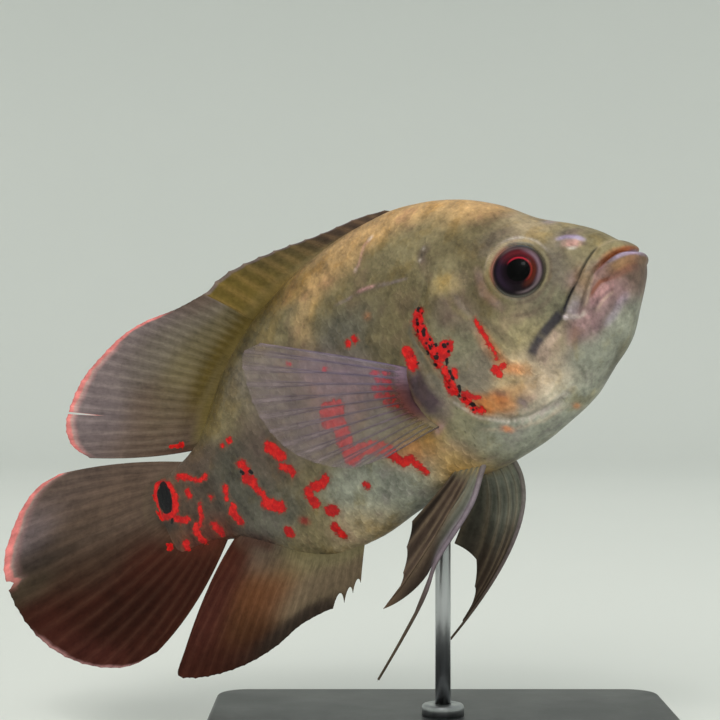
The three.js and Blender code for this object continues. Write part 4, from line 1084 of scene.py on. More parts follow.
def makeSkin():
    rows, grid, arcs = skinGrid()
    count, around = grid.shape[:2]
    normals = gridNormals(grid)
    outward = np.sign((normals * (grid - [0, 0, fish["snoutLevel"]])).sum(2))
    normals *= np.sign(np.median(outward))
    flat = grid.reshape(-1, 3)
    place = np.stack([fish["originS"] - flat[:, 0], flat[:, 2]], 1)
    lift = np.zeros(len(flat))
    front = place[:, 0] < fish["reliefTo"]
    lift[front] = headRelief(place[front], flat[front])
    lift -= fish["coatDepth"]
    straight = flat + normals.reshape(-1, 3) * lift[:, None]
    tip = straight[:around].mean(0) + [0.12, 0, 0]
    end = straight[-around:].mean(0) + [-0.2, 0, 0]
    points = placeInWorld(np.vstack([straight, tip, end]))
    mesh = makeMesh("skin", points, cappedFaces(count, around))
    # unwrap: along the body, and up from its middle line, each flank a sheet of its own
    half = around // 2
    fold = np.minimum(np.arange(around), around - np.arange(around))
    middles = np.array([keelArc(s)[0] for s in rows])
    fromMiddle = (arcs[:, fold] - middles[:, None]).ravel()
    above, below = np.repeat(arcs[:, -1] - middles, around), np.repeat(middles, around)
    lengths = np.repeat(np.interp(rows, lengthS, lengthAlong), around) * flatScale + 0.01
    loops = np.empty(len(mesh.loops), np.int32)
    mesh.loops.foreach_get("vertex_index", loops)
    corners = np.minimum(loops, len(flat) - 1)
    quads = (count - 1) * around
    faceOf = np.concatenate([np.repeat(np.arange(quads), 4), np.repeat(np.tile(np.arange(around), 2), 3)])
    onLeft = (faceOf % around) >= half
    starts = np.append(np.arange(0, 4 * quads, 4), 4 * quads + np.arange(0, 6 * around, 3))
    mean = np.add.reduceat(fromMiddle[corners], starts)
    high = np.concatenate([np.repeat(mean[:quads], 4), np.repeat(mean[quads:], 3)]) >= 0
    u, v = lengths[corners], fromMiddle[corners]
    over = np.where(high, 2 * above[corners], -2 * below[corners]) - v
    storeUnwrap(mesh, "OFBake", perLoop=np.stack([u, flankLevel[0] + v * flatScale + onLeft * 0.5], 1))
    for chart, own in (("chartRight", ~onLeft), ("chartLeft", onLeft)):
        level = 0.5 + np.where(own, v, over) * flatScale
        storeUnwrap(mesh, chart, perLoop=np.stack([u, level], 1))
    dress(mesh)
    storePoints(mesh, "rim", np.zeros(len(mesh.vertices)))
    return makePiece("skin", mesh, fleshFinish)


skin = makeSkin()
print("skin", len(skin.data.polygons))


# Eyes
eyeLook = {
    "segments": 80,
    "rings": 40,
    "pupil": 0.41,
    "shift": (0.085, -0.07),
    "fixed": {"Roughness": 0.3, "Coat Weight": 0.06, "Coat Roughness": 0.04, "Specular IOR Level": 0.06},
    "iris": [
        (0.7, 0.12, "2a1d2e", 0.7, 185, 0.0),
        (0.66, 0.14, "58181e", 0.9, 88, 0.1),
        (0.58, 0.1, "4c2014", 0.9, -8, 0.3),
        (0.46, 0.024, "b81f34", 0.9, 92, 0.35),
        (0.47, 0.035, "7c2219", 0.85, 5, 0.4),
        (0.84, 0.05, "0c080e", 0.75, 215, 0.0),
        (0.83, 0.05, "6a575a", 0.55, 92, 0.4),
        (0.76, 0.075, "75606c", 0.85, 24, 0.3),
        (0.8, 0.045, "66585c", 0.8, -42, 0.55),
        (1.0, 0.085, "645f50", 0.97, 0, -1.1),
        (0.95, 0.05, "706d66", 0.7, -95, 0.3),
        (0.97, 0.06, "ae7a6c", 0.95, 158, 0.35),
        (1.0, 0.08, "5a636c", 0.95, 95, 0.75),
    ],
}


def eyeMaterial():
    material, shader, w = newMaterial("oscarEye", eyeLook["fixed"])
    reach, turn, tone = w.attribute("reach"), w.attribute("turn"), w.attribute("tone", 0)
    place = w.add("ShaderNodeTexCoord", out=3)
    fibre = w.noise(w.add("ShaderNodeCombineXYZ", {0: reach * 3.0, 1: turn * 30.0}), 3.0, 3.0)
    cloud = w.noise(place, 500.0, 3.0)
    at = reach + (fibre - 0.5) * 0.02 + (cloud - 0.5) * 0.03
    colour = tone.scaled(0.65 + fibre * 0.7)
    pupil = eyeLook["pupil"]
    colour = colour.mixed("020202", at.step(pupil + 0.008, pupil - 0.008))
    plug(shader, {"Base Color": colour})
    return material


def makeEye(side, material):
    middle, outward, backward, up = eyeFrame(side)
    rings, segments = eyeLook["rings"], eyeLook["segments"]
    reach = np.sin(np.linspace(0.02, np.pi / 2, rings))
    dome = np.cos(np.linspace(0.02, np.pi / 2, rings))
    turn = np.linspace(0, 2 * np.pi, segments, endpoint=False)
    radius, depth = head["eyeRadius"], head["eyeDepth"]
    flat = reach[:, None] * radius
    high = dome[:, None] * depth - head["eyeSunk"] + 0.12 * np.exp(-(((reach[:, None] - 0.56) / 0.05) ** 2))
    points = (
        middle + (flat * np.cos(turn))[..., None] * backward
        + (flat * np.sin(turn))[..., None] * up + (high + 0 * turn)[..., None] * outward
    ).reshape(-1, 3)
    apex = middle + outward * (depth - head["eyeSunk"])
    back = middle - outward * (head["eyeSunk"] + 0.8)
    world = placeInWorld(np.vstack([points, apex, back]))
    mesh = makeMesh("eye", world, cappedFaces(rings, segments))
    facesOut(mesh)
    # the pattern's middle sits a little off the dome's, and its rim keeps its place
    seen = math.radians(180 + fish["pitch"]) - turn
    easy = 0.92 * (1 - reach[:, None] ** 2)
    over = reach[:, None] * np.cos(seen) - eyeLook["shift"][0] * easy
    upward = reach[:, None] * np.sin(seen) - eyeLook["shift"][1] * easy
    over, upward = np.append(over, [0, 1]), np.append(upward, [0, 0])
    away, toward = np.hypot(over, upward), np.arctan2(upward, over)
    dark = np.zeros((len(away), 3)) + paint("0f070d")
    storePoints(mesh, "reach", away)
    storePoints(mesh, "turn", toward)
    storePoints(mesh, "tone", ringTone(dark, eyeLook["iris"], away, toward))
    return makePiece("eyeRight" if side < 0 else "eyeLeft", mesh, material)


eyeFinish = eyeMaterial()
eyes = {side: makeEye(side, eyeFinish) for side in (-1, 1)}
print("eyes ready")


# Geometry Nodes
def newTree(name, inputs):
    # a tree with named inputs, each a type and a default
    tree = bpy.data.node_groups.new(name, "GeometryNodeTree")
    tree.interface.new_socket("Geometry", in_out="INPUT", socket_type="NodeSocketGeometry")
    for label, (kind, value) in inputs.items():
        socket = tree.interface.new_socket(label, in_out="INPUT", socket_type=kind)
        if value is not None:
            socket.default_value = value
    tree.interface.new_socket("Geometry", in_out="OUTPUT", socket_type="NodeSocketGeometry")
    group = tree.nodes.new("NodeGroupInput")
    given = {socket.name: Wire(tree, socket) for socket in group.outputs if socket.name}
    return tree, Wire(tree), given


def finishTree(tree, geometry, given):
    w = Wire(tree)
    whole = w.add("GeometryNodeRealizeInstances", {"Geometry": geometry})
    whole = w.add("GeometryNodeSetShadeSmooth", {"Geometry": whole})
    whole = w.add("GeometryNodeSetMaterial", {"Geometry": whole, "Material": given["Material"]})
    output = tree.nodes.new("NodeGroupOutput")
    tree.links.new(whole.socket, output.inputs["Geometry"])
    return tree


def growPiece(name, source, tree, values):
    # runs a tree on a mesh and keeps the result as a plain piece
    holder = makePiece(name + "Source", source)
    modifier = holder.modifiers.new("grow", "NODES")
    modifier.node_group = tree
    names = {item.name: item.identifier for item in tree.interface.items_tree if item.in_out == "INPUT"}
    for label, value in values.items():
        modifier[names[label]] = value
    graph = bpy.context.evaluated_depsgraph_get()
    grown = holder.evaluated_get(graph)
    mesh = bpy.data.meshes.new_from_object(grown, preserve_all_data_layers=True, depsgraph=graph)
    holder.modifiers.remove(modifier)
    bpy.data.objects.remove(holder)
    mesh.name = name
    return makePiece(name, mesh)


def scaleTree():
    # flat scales on a flat lattice, laid onto a surface through its unwrap
    tree, w, given = newTree("scaleCoat", {
        "Surface": ("NodeSocketObject", None),
        "Scale Shape": ("NodeSocketObject", None),
        "Flat Scale": ("NodeSocketFloat", flatScale),
        "Chart": ("NodeSocketString", "chartRight"),
        "Patch": ("NodeSocketFloat", 0.15),
        "Material": ("NodeSocketMaterial", None),
    })

    def named(label, kind="FLOAT_VECTOR"):
        return w.add("GeometryNodeInputNamedAttribute", {"Name": label}, data_type=kind)

    surface = w.add("GeometryNodeObjectInfo", {"Object": given["Surface"]}, out=4)
    shape = w.add("GeometryNodeObjectInfo", {"Object": given["Scale Shape"]}, out=4)
    turned = w.add("FunctionNodeEulerToRotation", {"Euler": named("turned")})
    placed = w.add("GeometryNodeInstanceOnPoints", {
        "Points": given["Geometry"], "Instance": shape, "Rotation": turned, "Scale": named("size"),
    })
    placed = w.add("GeometryNodeRealizeInstances", {"Geometry": placed})
    flatAt = w.add("GeometryNodeInputPosition")
    root = named("root")
    offset = w.add("ShaderNodeVectorMath", {0: flatAt, 1: named("flat")}, operation="SUBTRACT")
    offset = offset.scaled(given["Patch"])
    bake = w.add("ShaderNodeVectorMath", {0: root, 1: offset}, operation="ADD")
    placed = w.add("GeometryNodeStoreNamedAttribute", {"Geometry": placed, "Name": "OFBake", "Value": bake},
                   data_type="FLOAT2", domain="CORNER")
    chart = named(given["Chart"])
    onSurface = []
    for value in (w.add("GeometryNodeInputPosition"), w.add("GeometryNodeInputNormal")):
        onSurface.append(w.add("GeometryNodeSampleUVSurface", {
            "Mesh": surface, "Value": value, "UV Map": chart, "Sample UV": flatAt,
        }, data_type="FLOAT_VECTOR"))
    found = Wire(tree, onSurface[0].socket.node.outputs["Is Valid"])
    missed = w.add("FunctionNodeBooleanMath", {0: found}, operation="NOT")
    placed = w.add("GeometryNodeDeleteGeometry", {"Geometry": placed, "Selection": missed}, domain="POINT")
    height = w.add("ShaderNodeSeparateXYZ", {0: flatAt}, out=2)
    lifted = onSurface[1].scaled(height * (mm / flatScale))
    target = w.add("ShaderNodeVectorMath", {0: onSurface[0], 1: lifted}, operation="ADD")
    placed = w.add("GeometryNodeSetPosition", {"Geometry": placed, "Position": target})
    return finishTree(tree, placed, given)


def rayTree():
    # tapered rods along the edges of a mesh
    tree, w, given = newTree("finRays", {
        "Sides": ("NodeSocketInt", 6),
        "Material": ("NodeSocketMaterial", None),
    })
    lines = w.add("GeometryNodeMeshToCurve", {"Mesh": given["Geometry"]})
    circle = {"Resolution": given["Sides"], "Radius": 1.0}
    outline = w.add("GeometryNodeCurvePrimitiveCircle", circle, mode="RADIUS")
    thick = w.add("GeometryNodeInputNamedAttribute", {"Name": "thick"}, data_type="FLOAT")
    rods = w.add("GeometryNodeCurveToMesh", {
        "Curve": lines, "Profile Curve": outline, "Scale": thick, "Fill Caps": True,
    })
    return finishTree(tree, rods, given)


coat = {
    "length": 2.5,  # of the part of a scale that shows, on the flank
    "row": 2.35,  # from one row to the next
    "headSize": 0.62,
    "across": 8,
    "back": 7,
    "lift": (-0.035, 0.03),
    "thick": 0.04,
}


def scaleShape():
    # one scale in its own units: spacing along is 1 and row spacing is 1, heights in mm
    across, back = coat["across"], coat["back"]
    v = np.linspace(-1, 1, across + 1)
    u = np.linspace(0, 1, back + 1)
    rear = 0.66 * np.sqrt(np.maximum(0, 1 - np.abs(v) ** 2.6))
    points = []
    for share in u:
        width = 0.77 + 0.23 * np.sin(np.pi * min(1, 0.25 + 0.75 * share))
        x = -0.95 + share * (rear + 0.95)
        low, high = coat["lift"]
        z = low + (high - low) * (x + 0.95) / 1.61 + 0.035 * (1 - v**2)
        points.append(np.stack([x, v * width, z], 1))
    top = np.array(points).reshape(-1, 3)
    edge = list(range(0, across + 1))
    edge += [(across + 1) * i + across for i in range(1, back + 1)]
    edge += [(across + 1) * back + j for j in range(across - 1, -1, -1)]
    edge += [(across + 1) * i for i in range(back - 1, 0, -1)]
    under = top[edge] - [0, 0, coat["thick"]]
    quads = gridFaces(back + 1, across + 1)[:, ::-1]
    around = np.arange(len(edge))
    after = (around + 1) % len(edge)
    corner = np.array(edge)
    skirt = np.stack([corner[around], corner[after], after + len(top), around + len(top)], 1)
    mesh = makeMesh("scaleShape", np.vstack([top, under]), [quads, skirt[:, ::-1]])
    # rim marks the rear edge of the scale, which the flesh finish paints lighter as a painted highlight
    rim = np.repeat(smooth(0.72, 1.0, u), across + 1)
    storePoints(mesh, "rim", np.append(rim, np.where(np.isin(corner, range(0, across + 1)), 0, 1.0)))
    return mesh


def scaleLattice(first, last, size, onHead):
    # rows along the flank from its middle line; they run out where the body narrows
    stops = np.linspace(first, last, 240)
    arcs = [keelArc(s) for s in stops]
    middle, whole = np.array([arc[:2] for arc in arcs]).T
    shrink = 1 - 0.34 * smooth(98, 150, stops)
    if not onHead:
        shrink = shrink * (0.74 + 0.26 * smooth(30, 60, stops))
    stepAlong, stepUp = coat["length"] * size * shrink, coat["row"] * size * shrink
    counted = np.append(0, np.cumsum(np.diff(stops) / ((stepAlong[1:] + stepAlong[:-1]) / 2)))
    found = []
    for j in range(-44, 45):
        index = np.arange(0, counted[-1], 1.0) + 0.5 * (j % 2)
        s = np.interp(index, counted, stops)
        ownUp, ownAlong = np.interp(s, stops, stepUp), np.interp(s, stops, stepAlong)
        v = j * ownUp
        low, high = np.interp(s, stops, middle), np.interp(s, stops, whole - middle)
        keep = (v > 0.2 * ownUp - low) & (v < high - 0.2 * ownUp)
        slope = np.gradient(v, np.interp(s, lengthS, lengthAlong))
        found.append(np.stack([s, v, ownAlong, ownUp, slope], 1)[keep])
    found = np.vstack(found)
    h = []
    for s, v in found[:, :2]:
        at, _, arc, level = keelArc(s)
        h.append(np.interp(v + at, arc, level))
    return np.hstack([found, np.array(h)[:, None]])


def scaleHere(s, h, onHead):
    # where scales grow: not on the muzzle, round the eye, or over the edges of the gill cover
    place = np.stack([s, h], 1)
    edge, _, side = nearest(place, smoothPath(head["gillEdge"], 80))
    pre, _, _ = nearest(place, smoothPath(head["preopercle"], 50))
    eyeGap = np.hypot(s - head["eye"][0], h - head["eye"][1])
    onCover = (side > 0) & (s < 61) & (h < 10.5 + 0.55 * (s - 32))
    finFoot = (np.abs(s - 65.0) < 3.2) & (np.abs(h + 12.6) < 8.0)
    clearEdge = np.where((h < -1) & (h > -13), 2.4, 0.9)
    ok = (edge > clearEdge) & (eyeGap > 10.0) & ~finFoot
    if onHead:
        return ok & onCover & (pre > 1.0) & (s > 34.5) & (h > -17) & (h > 26 - 0.95 * s)
    ok &= ~onCover | (h > 9.5 + 0.55 * (s - 32))
    ok &= ~((s < 52) & (h < -20))
    return ok & (s > 31.5 + 0.3 * np.maximum(0, h - 20) - 0.4 * np.maximum(0, 16 - h))


def dropStray(mesh):
    # takes away the corners of scales that landed on the snout, where the two charts meet
    place, _ = flankPlace(pointsOf(mesh))
    work = bmesh.new()
    work.from_mesh(mesh)
    work.verts.ensure_lookup_table()
    stray = [work.verts[i] for i in np.flatnonzero(place[:, 0] < fish["snoutEnd"])]
    bmesh.ops.delete(work, geom=stray, context="VERTS")
    work.to_mesh(mesh)
    work.free()


def makeCoat(skinPiece):
    shape = makePiece("scaleShape", scaleShape())
    body, cheek = scaleLattice(30, 151.5, 1.0, False), scaleLattice(30, 62, coat["headSize"], True)
    body = body[scaleHere(body[:, 0], body[:, 5], False)]
    cheek = cheek[scaleHere(cheek[:, 0], cheek[:, 5], True)]
    lattice = np.vstack([cheek, body])
    tree = scaleTree()
    rng = np.random.default_rng(11)
    made = []
    parts = {"Front": lattice[:, 0] < 88, "Rear": lattice[:, 0] >= 88}
    for side, sideName in enumerate(("Right", "Left")):
        for partName, mask in parts.items():
            s, v, ownAlong, ownUp, slope, h = lattice[mask].T
            drift = rng.normal(0, 0.04, (3, len(s)))
            forward = np.interp(s, lengthS, lengthAlong) * flatScale + 0.01 + drift[0] * ownAlong * flatScale
            level = (v + drift[1] * ownUp) * flatScale
            flat = np.stack([forward, 0.5 + level, 0 * s], 1)
            root = np.stack([forward, flankLevel[side] + level, 0 * s], 1)
            mesh = bpy.data.meshes.new("lattice")
            mesh.vertices.add(len(s))
            mesh.vertices.foreach_set("co", flat.astype(np.float32).ravel())
            turned = np.stack([0 * s, 0 * s, np.arctan(slope) + drift[2]], 1)
            high = np.interp(s, [36, 46, 60, 140, 151], [0.35, 0.55, 1.0, 0.9, 0.5])
            size = np.stack([ownAlong, ownUp, high], 1) * flatScale
            for label, values in (("turned", turned), ("size", size), ("root", root), ("flat", flat)):
                layer = mesh.attributes.new(label, "FLOAT_VECTOR", "POINT")
                layer.data.foreach_set("vector", values.astype(np.float32).ravel())
            shade = mesh.attributes.new("shade", "FLOAT", "POINT")
            shade.data.foreach_set("value", np.clip(rng.normal(0, 0.4, len(s)), -1, 1).astype(np.float32))
            piece = growPiece("scales" + sideName + partName, mesh, tree, {
                "Surface": skinPiece,
                "Scale Shape": shape,
                "Chart": "chart" + sideName,
                "Material": fleshFinish,
            })
            dropStray(piece.data)
            if sideName == "Right":
                piece.data.flip_normals()
            dress(piece.data)
            made.append(piece)
            print(piece.name, len(s), len(piece.data.polygons))
    bpy.data.objects.remove(shape)
    return made


coatPieces = makeCoat(skin)

# Fins: root and tips as in the solids, then paints by place across (first to last ray) and out
fins = {
    "dorsalSpiny": {
        "node": "dorsal_fin_spiny",
        "rays": 13,
        "root": [(55, 38.6), (70, 39.2), (84, 37.6), (96, 34.6), (104.1, 31.5)],
        "tips": [(58.5, 41.4), (66, 43.4), (78, 45.0), (90, 47.3), (102, 48.8), (108.5, 48.7),
            (114.9, 46.8)],
        "bow": (0, 0.6),
        "notch": (99, 0.05),
        "sheath": 0.6,
        "foot": 1.9,
        "bodyReach": 0.4,
        "rayThick": (0.36, 0.13),
        "forks": False,
        "stripe": 0.2,
        "ridge": ("ochre", 0.16),
        "patches": [
            (0.0, 0.6, 0.2, 0.5, "umber", 0.8), (0.3, 0.5, 0.16, 0.6, "umber", 0.6),
            (0.3, 0.1, 0.2, 0.2, "olive", 0.7),
            (0.6, 0.5, 0.16, 0.6, "darkOlive", 1.1), (0.8, 0.3, 0.2, 0.4, "bronze", 1.4),
            (0.95, 0.6, 0.12, 0.5, "bronze", 1.6),
        ],
        "margins": [(-0.1, 1.1, 0.93, 0.03, "mauve", 0.75)],
        "rayPaint": ("tan", 0.05, 1.0),
    },
    "dorsalSoft": {
        "node": "dorsal_fin_soft",
        "rays": 20,
        "root": [(103.9, 31.6), (113, 26.6), (121, 20.2), (128, 13.4), (133.6, 8.6)],
        "tips": [
            (114.8, 46.8), (124, 47.4), (135, 49.1), (142.5, 48.7), (150.5, 46.2), (157.5, 42.9),
            (163, 38), (167, 32.3), (167.2, 26.3), (163.6, 20.6),
        ],
        "bow": (0.6, -1.0),
        "sway": (2.2, 0.7, 0.0),
        "slit": (0.765, 0.0045, 0.2),
        "sheath": 0.42,
        "foot": 2.8,
        "bodyReach": 0.14,
        "rayThick": (0.28, 0.08),
        "forks": True,
        "stripe": 0.24,
        "ridge": ("taupe", 0.14),
        "patches": [
            (0.0, 0.15, 0.2, 0.2, "bronze", 0.95), (0.3, 0.12, 0.25, 0.14, "bronze", 0.95),
            (0.6, 0.1, 0.2, 0.12, "bronze", 1.0), (0.85, 0.1, 0.15, 0.1, "umber", 0.8),
            (0.2, 0.42, 0.3, 0.12, "olive", 0.75), (0.5, 0.34, 0.3, 0.1, "olive", 0.85),
            (0.8, 0.33, 0.2, 0.12, "umber", 1.1), (0.2, 0.68, 0.2, 0.2, "taupe", 0.78),
            (0.42, 0.66, 0.2, 0.2, "taupe", 0.74), (0.6, 0.88, 0.2, 0.22, "mauve", 1.1),
            (0.8, 0.82, 0.14, 0.2, "mauve", 0.88), (0.3, 0.9, 0.2, 0.15, "mauve", 0.95),
            (0.7, 0.5, 0.12, 0.12, "umber", 1.15), (0.93, 0.5, 0.1, 0.3, "umber", 1.1),
            (1.0, 0.2, 0.045, 0.2, "wine", 1.2), (0.06, 0.9, 0.12, 0.2, "umber", 1.1),
        ],
        "margins": [
            (0.45, 0.96, 0.935, 0.02, "blush", 0.6), (0.5, 0.9, 0.95, 0.012, "pearl", 0.45),
            (0.2, 0.95, 0.966, 0.01, "coral", 0.95),
        ],
        "rayPaint": ("greyBrown", 0.3, 1.1),
    },
    "anal": {
        "node": "anal_fin",
        "rays": 19,
        "root": [(101.4, -34.6), (110, -33), (119, -28.8), (126.4, -22.4), (132.4, -17)],
        "tips": [
            (107.6, -44.2), (114.4, -46.9), (121, -46.6), (128, -47), (136, -49.2), (145, -50.1),
            (154, -49.1), (160.8, -47), (164.3, -44.6), (161, -40.6),
        ],
        "bow": (0, 2.2),
        "sway": (1.6, 0.8, 0.1),
        "notch": (3, 0.22),
        "sheath": 0.46,
        "foot": 2.8,
        "bodyReach": 0.16,
        "rayThick": (0.28, 0.08),
        "forks": True,
        "stripe": 0.2,
        "ridge": ("bark", 0.06),
        "patches": [
            (0.1, 0.1, 0.2, 0.2, "khaki", 0.75), (0.4, 0.12, 0.2, 0.2, "khaki", 0.82),
            (0.68, 0.1, 0.12, 0.15, "umber", 0.95), (0.95, 0.2, 0.1, 0.25, "mahogany", 1.3),
            (0.08, 0.65, 0.1, 0.25, "drab", 1.15), (0.2, 0.5, 0.12, 0.2, "drab", 1.2),
            (0.37, 0.5, 0.14, 0.2, "drab", 1.35), (0.2, 0.92, 0.12, 0.1, "coal", 1.5),
            (0.42, 0.92, 0.2, 0.1, "coal", 1.25), (0.55, 0.4, 0.12, 0.2, "russet", 1.2),
            (0.7, 0.48, 0.1, 0.18, "russet", 1.0), (0.65, 0.72, 0.12, 0.14, "russet", 0.5),
            (0.72, 0.92, 0.15, 0.12, "mahogany", 0.75), (0.88, 0.62, 0.1, 0.3, "oxblood", 0.98),
            (0.87, 0.92, 0.12, 0.15, "mahogany", 1.0),
        ],
        "margins": [],
        "rayPaint": ("bark", 0.06, 1.1),
    },
    "caudal": {
        "node": "caudal_fin",
        "rays": 18,
        "root": [(136.2, 5.4), (144.2, 3.2), (146.6, -4.6), (144.2, -11.8), (134.6, -15.4)],
        "tips": [
            (175, 21.5), (182.4, 21.3), (189.4, 18.2), (195.3, 13.1), (199.7, 7.6), (201.6, 1.2),
            (200.8, -8), (197.6, -17.8), (192.2, -26), (184.5, -32.7), (176, -36.4), (167.6, -36.2),
        ],
        "bow": (1.6, -2.4),
        "sway": (2.4, 0.9, 0.05),
        "slit": (0.405, 0.014, 0.04),
        "sheath": 0.42,
        "foot": 2.4,
        "bodyReach": 0.2,
        "rayThick": (0.32, 0.08),
        "forks": True,
        "stripe": 0.2,
        "ridge": ("bark", 0.1),
        "patches": [
            (0.05, 0.15, 0.2, 0.3, "umber", 1.0), (0.2, 0.35, 0.2, 0.2, "umber", 0.95),
            (0.05, 0.7, 0.12, 0.4, "greyBrown", 0.85), (0.17, 0.72, 0.1, 0.2, "greyBrown", 0.85),
            (0.25, 0.88, 0.08, 0.14, "mauve", 0.85), (0.32, 0.45, 0.1, 0.2, "umber", 0.8),
            (0.37, 0.8, 0.05, 0.2, "coal", 1.4), (0.44, 0.9, 0.04, 0.15, "drab", 0.5),
            (0.48, 0.5, 0.07, 0.25, "cocoa", 0.85), (0.58, 0.85, 0.09, 0.25, "mahogany", 0.78),
            (0.62, 0.3, 0.1, 0.16, "mahogany", 1.0), (0.72, 0.5, 0.12, 0.3, "mahogany", 0.52),
            (0.72, 0.95, 0.15, 0.1, "oxblood", 1.05), (0.92, 0.45, 0.1, 0.5, "mahogany", 0.85),
            (0.4, 0.08, 0.2, 0.1, "umber", 0.75), (0.75, 0.1, 0.15, 0.15, "mahogany", 1.2),
        ],
        "margins": [
            (-0.1, 0.38, 0.91, 0.035, "blush", 0.3), (-0.1, 0.38, 0.935, 0.015, "pearl", 0.35),
            (-0.1, 0.39, 0.952, 0.01, "coral", 0.97), (0.6, 0.97, 0.985, 0.012, "blush", 0.6),
        ],
        "rayPaint": ("greyBrown", 0.02, 1.0),
    },
}
finLook = {
    "membrane": (0.2, 0.1),  # half thickness at the root and at the margin
    "rows": 44,
    "fixed": {"Specular IOR Level": 0.05},
}


def finMaterial(name, clear=None):
    material, shader, w = newMaterial(name, finLook["fixed"])
    place = w.add("ShaderNodeTexCoord", out=3)
    tone, red, inky = w.attribute("tone", 0), w.attribute("red"), w.attribute("inky")
    out, k = w.attribute("out"), w.attribute("ray")
    cloud, fleck = w.noise(place, 110.0, 4.0), w.noise(place, 420.0, 3.0, 0.6)
    grain = w.noise(place, 1000.0, 2.0)
    fibre = w.noise(w.add("ShaderNodeCombineXYZ", {0: k * 2.2, 1: out * 4.0}), 2.2, 3.0, 0.6)
    bright = 1 + (cloud - 0.5) * 0.8 + (fleck - 0.5) * 0.5 + (fibre - 0.5) * 0.8 + (grain - 0.5) * 0.4
    colour = tone.scaled(bright)
    inside, redTone = redInside(red, w.noise(place, flesh["ragged"], 4.0, 0.65), fleck)
    colour = colour.mixed(redTone, inside.step(-0.16, 0.16) * 0.95)
    colour = colour.mixed("ink", (inky + (fleck - 0.5) * 0.7).step(-0.1, 0.12) * 0.98)
    rough = 0.6 + (fleck - 0.5) * 0.3
    joints = w.noise(w.add("ShaderNodeCombineXYZ", {0: k, 1: out * 60.0}), 1.0, 1.0)
    height = fleck * 0.5 + joints * 0.5 + fibre
    bump = w.add("ShaderNodeBump", {"Strength": 0.4, "Distance": 0.0002, "Height": height})
    values = {"Base Color": colour, "Roughness": rough, "Normal": bump}
    if clear:
        values["Alpha"] = (w.attribute("opaque") + (fibre - 0.5) * 0.3).step(0.0, 1.0, clear, 1.0)
    plug(shader, values)
    return material


def medianPoint(fin, t, out):
    root, tip = along(fin["rootLine"], t), along(fin["tipLine"], t)
    place = root + (tip - root) * out[..., None]
    rise = 4 * out * (1 - out) * (fin["bow"][0] * (1 - t) + fin["bow"][1] * t)
    swing = 0 * t
    if "sway" in fin:
        size, turns, phase = fin["sway"]
        swing = size * out**2 * np.sin(2 * np.pi * (turns * t + phase))
    return np.stack([fish["originS"] - place[..., 0], swing, place[..., 1] + rise], -1)


def finNormals(fin, t, out):
    step = 1e-3
    point = fin["point"]
    across = point(fin, np.minimum(t + step, 1), out) - point(fin, np.maximum(t - step, 0), out)
    outward = point(fin, t, np.minimum(out + step, 1)) - point(fin, t, np.maximum(out - step, 0))
    normal = np.cross(across, outward)
    normal /= np.maximum(np.linalg.norm(normal, axis=-1, keepdims=True), 1e-12)
    return normal * fin.get("facing", 1)


def finTone(fin, t, out, edge):
    tone = patchTone(t, out, fin["patches"], fin["patches"][0][4], 1e-3)
    ripple = 0.005 * np.sin(t * 31) + 0.003 * np.sin(t * 83 + 1)
    for first, last, start, soft, name, strength in fin["margins"]:
        cover = smooth(start - soft, start + soft, edge + ripple) * strength
        cover = cover * smooth(first - 0.06, first + 0.04, t) * (1 - smooth(last - 0.04, last + 0.05, t))
        tone = blend(tone, name, cover)
    return tone


def finReach(fin, k, t):
    # how far out the web reaches between rays, from its notches, its scallops and its slit
    between = np.abs(np.sin(np.pi * k))
    reach = 1 - 0.004 * between - 0.003 * np.abs(np.sin(2 * np.pi * k))
    if "notch" in fin:
        last, deep = fin["notch"]
        reach = reach - deep * (k < last) * between**0.7 * (0.75 + 0.25 * np.sin(5 * t))
    if "slit" in fin:
        at, width, depth = fin["slit"]
        reach = reach - depth * np.maximum(0, 1 - np.abs(t - at) / width) ** 0.6
    return reach


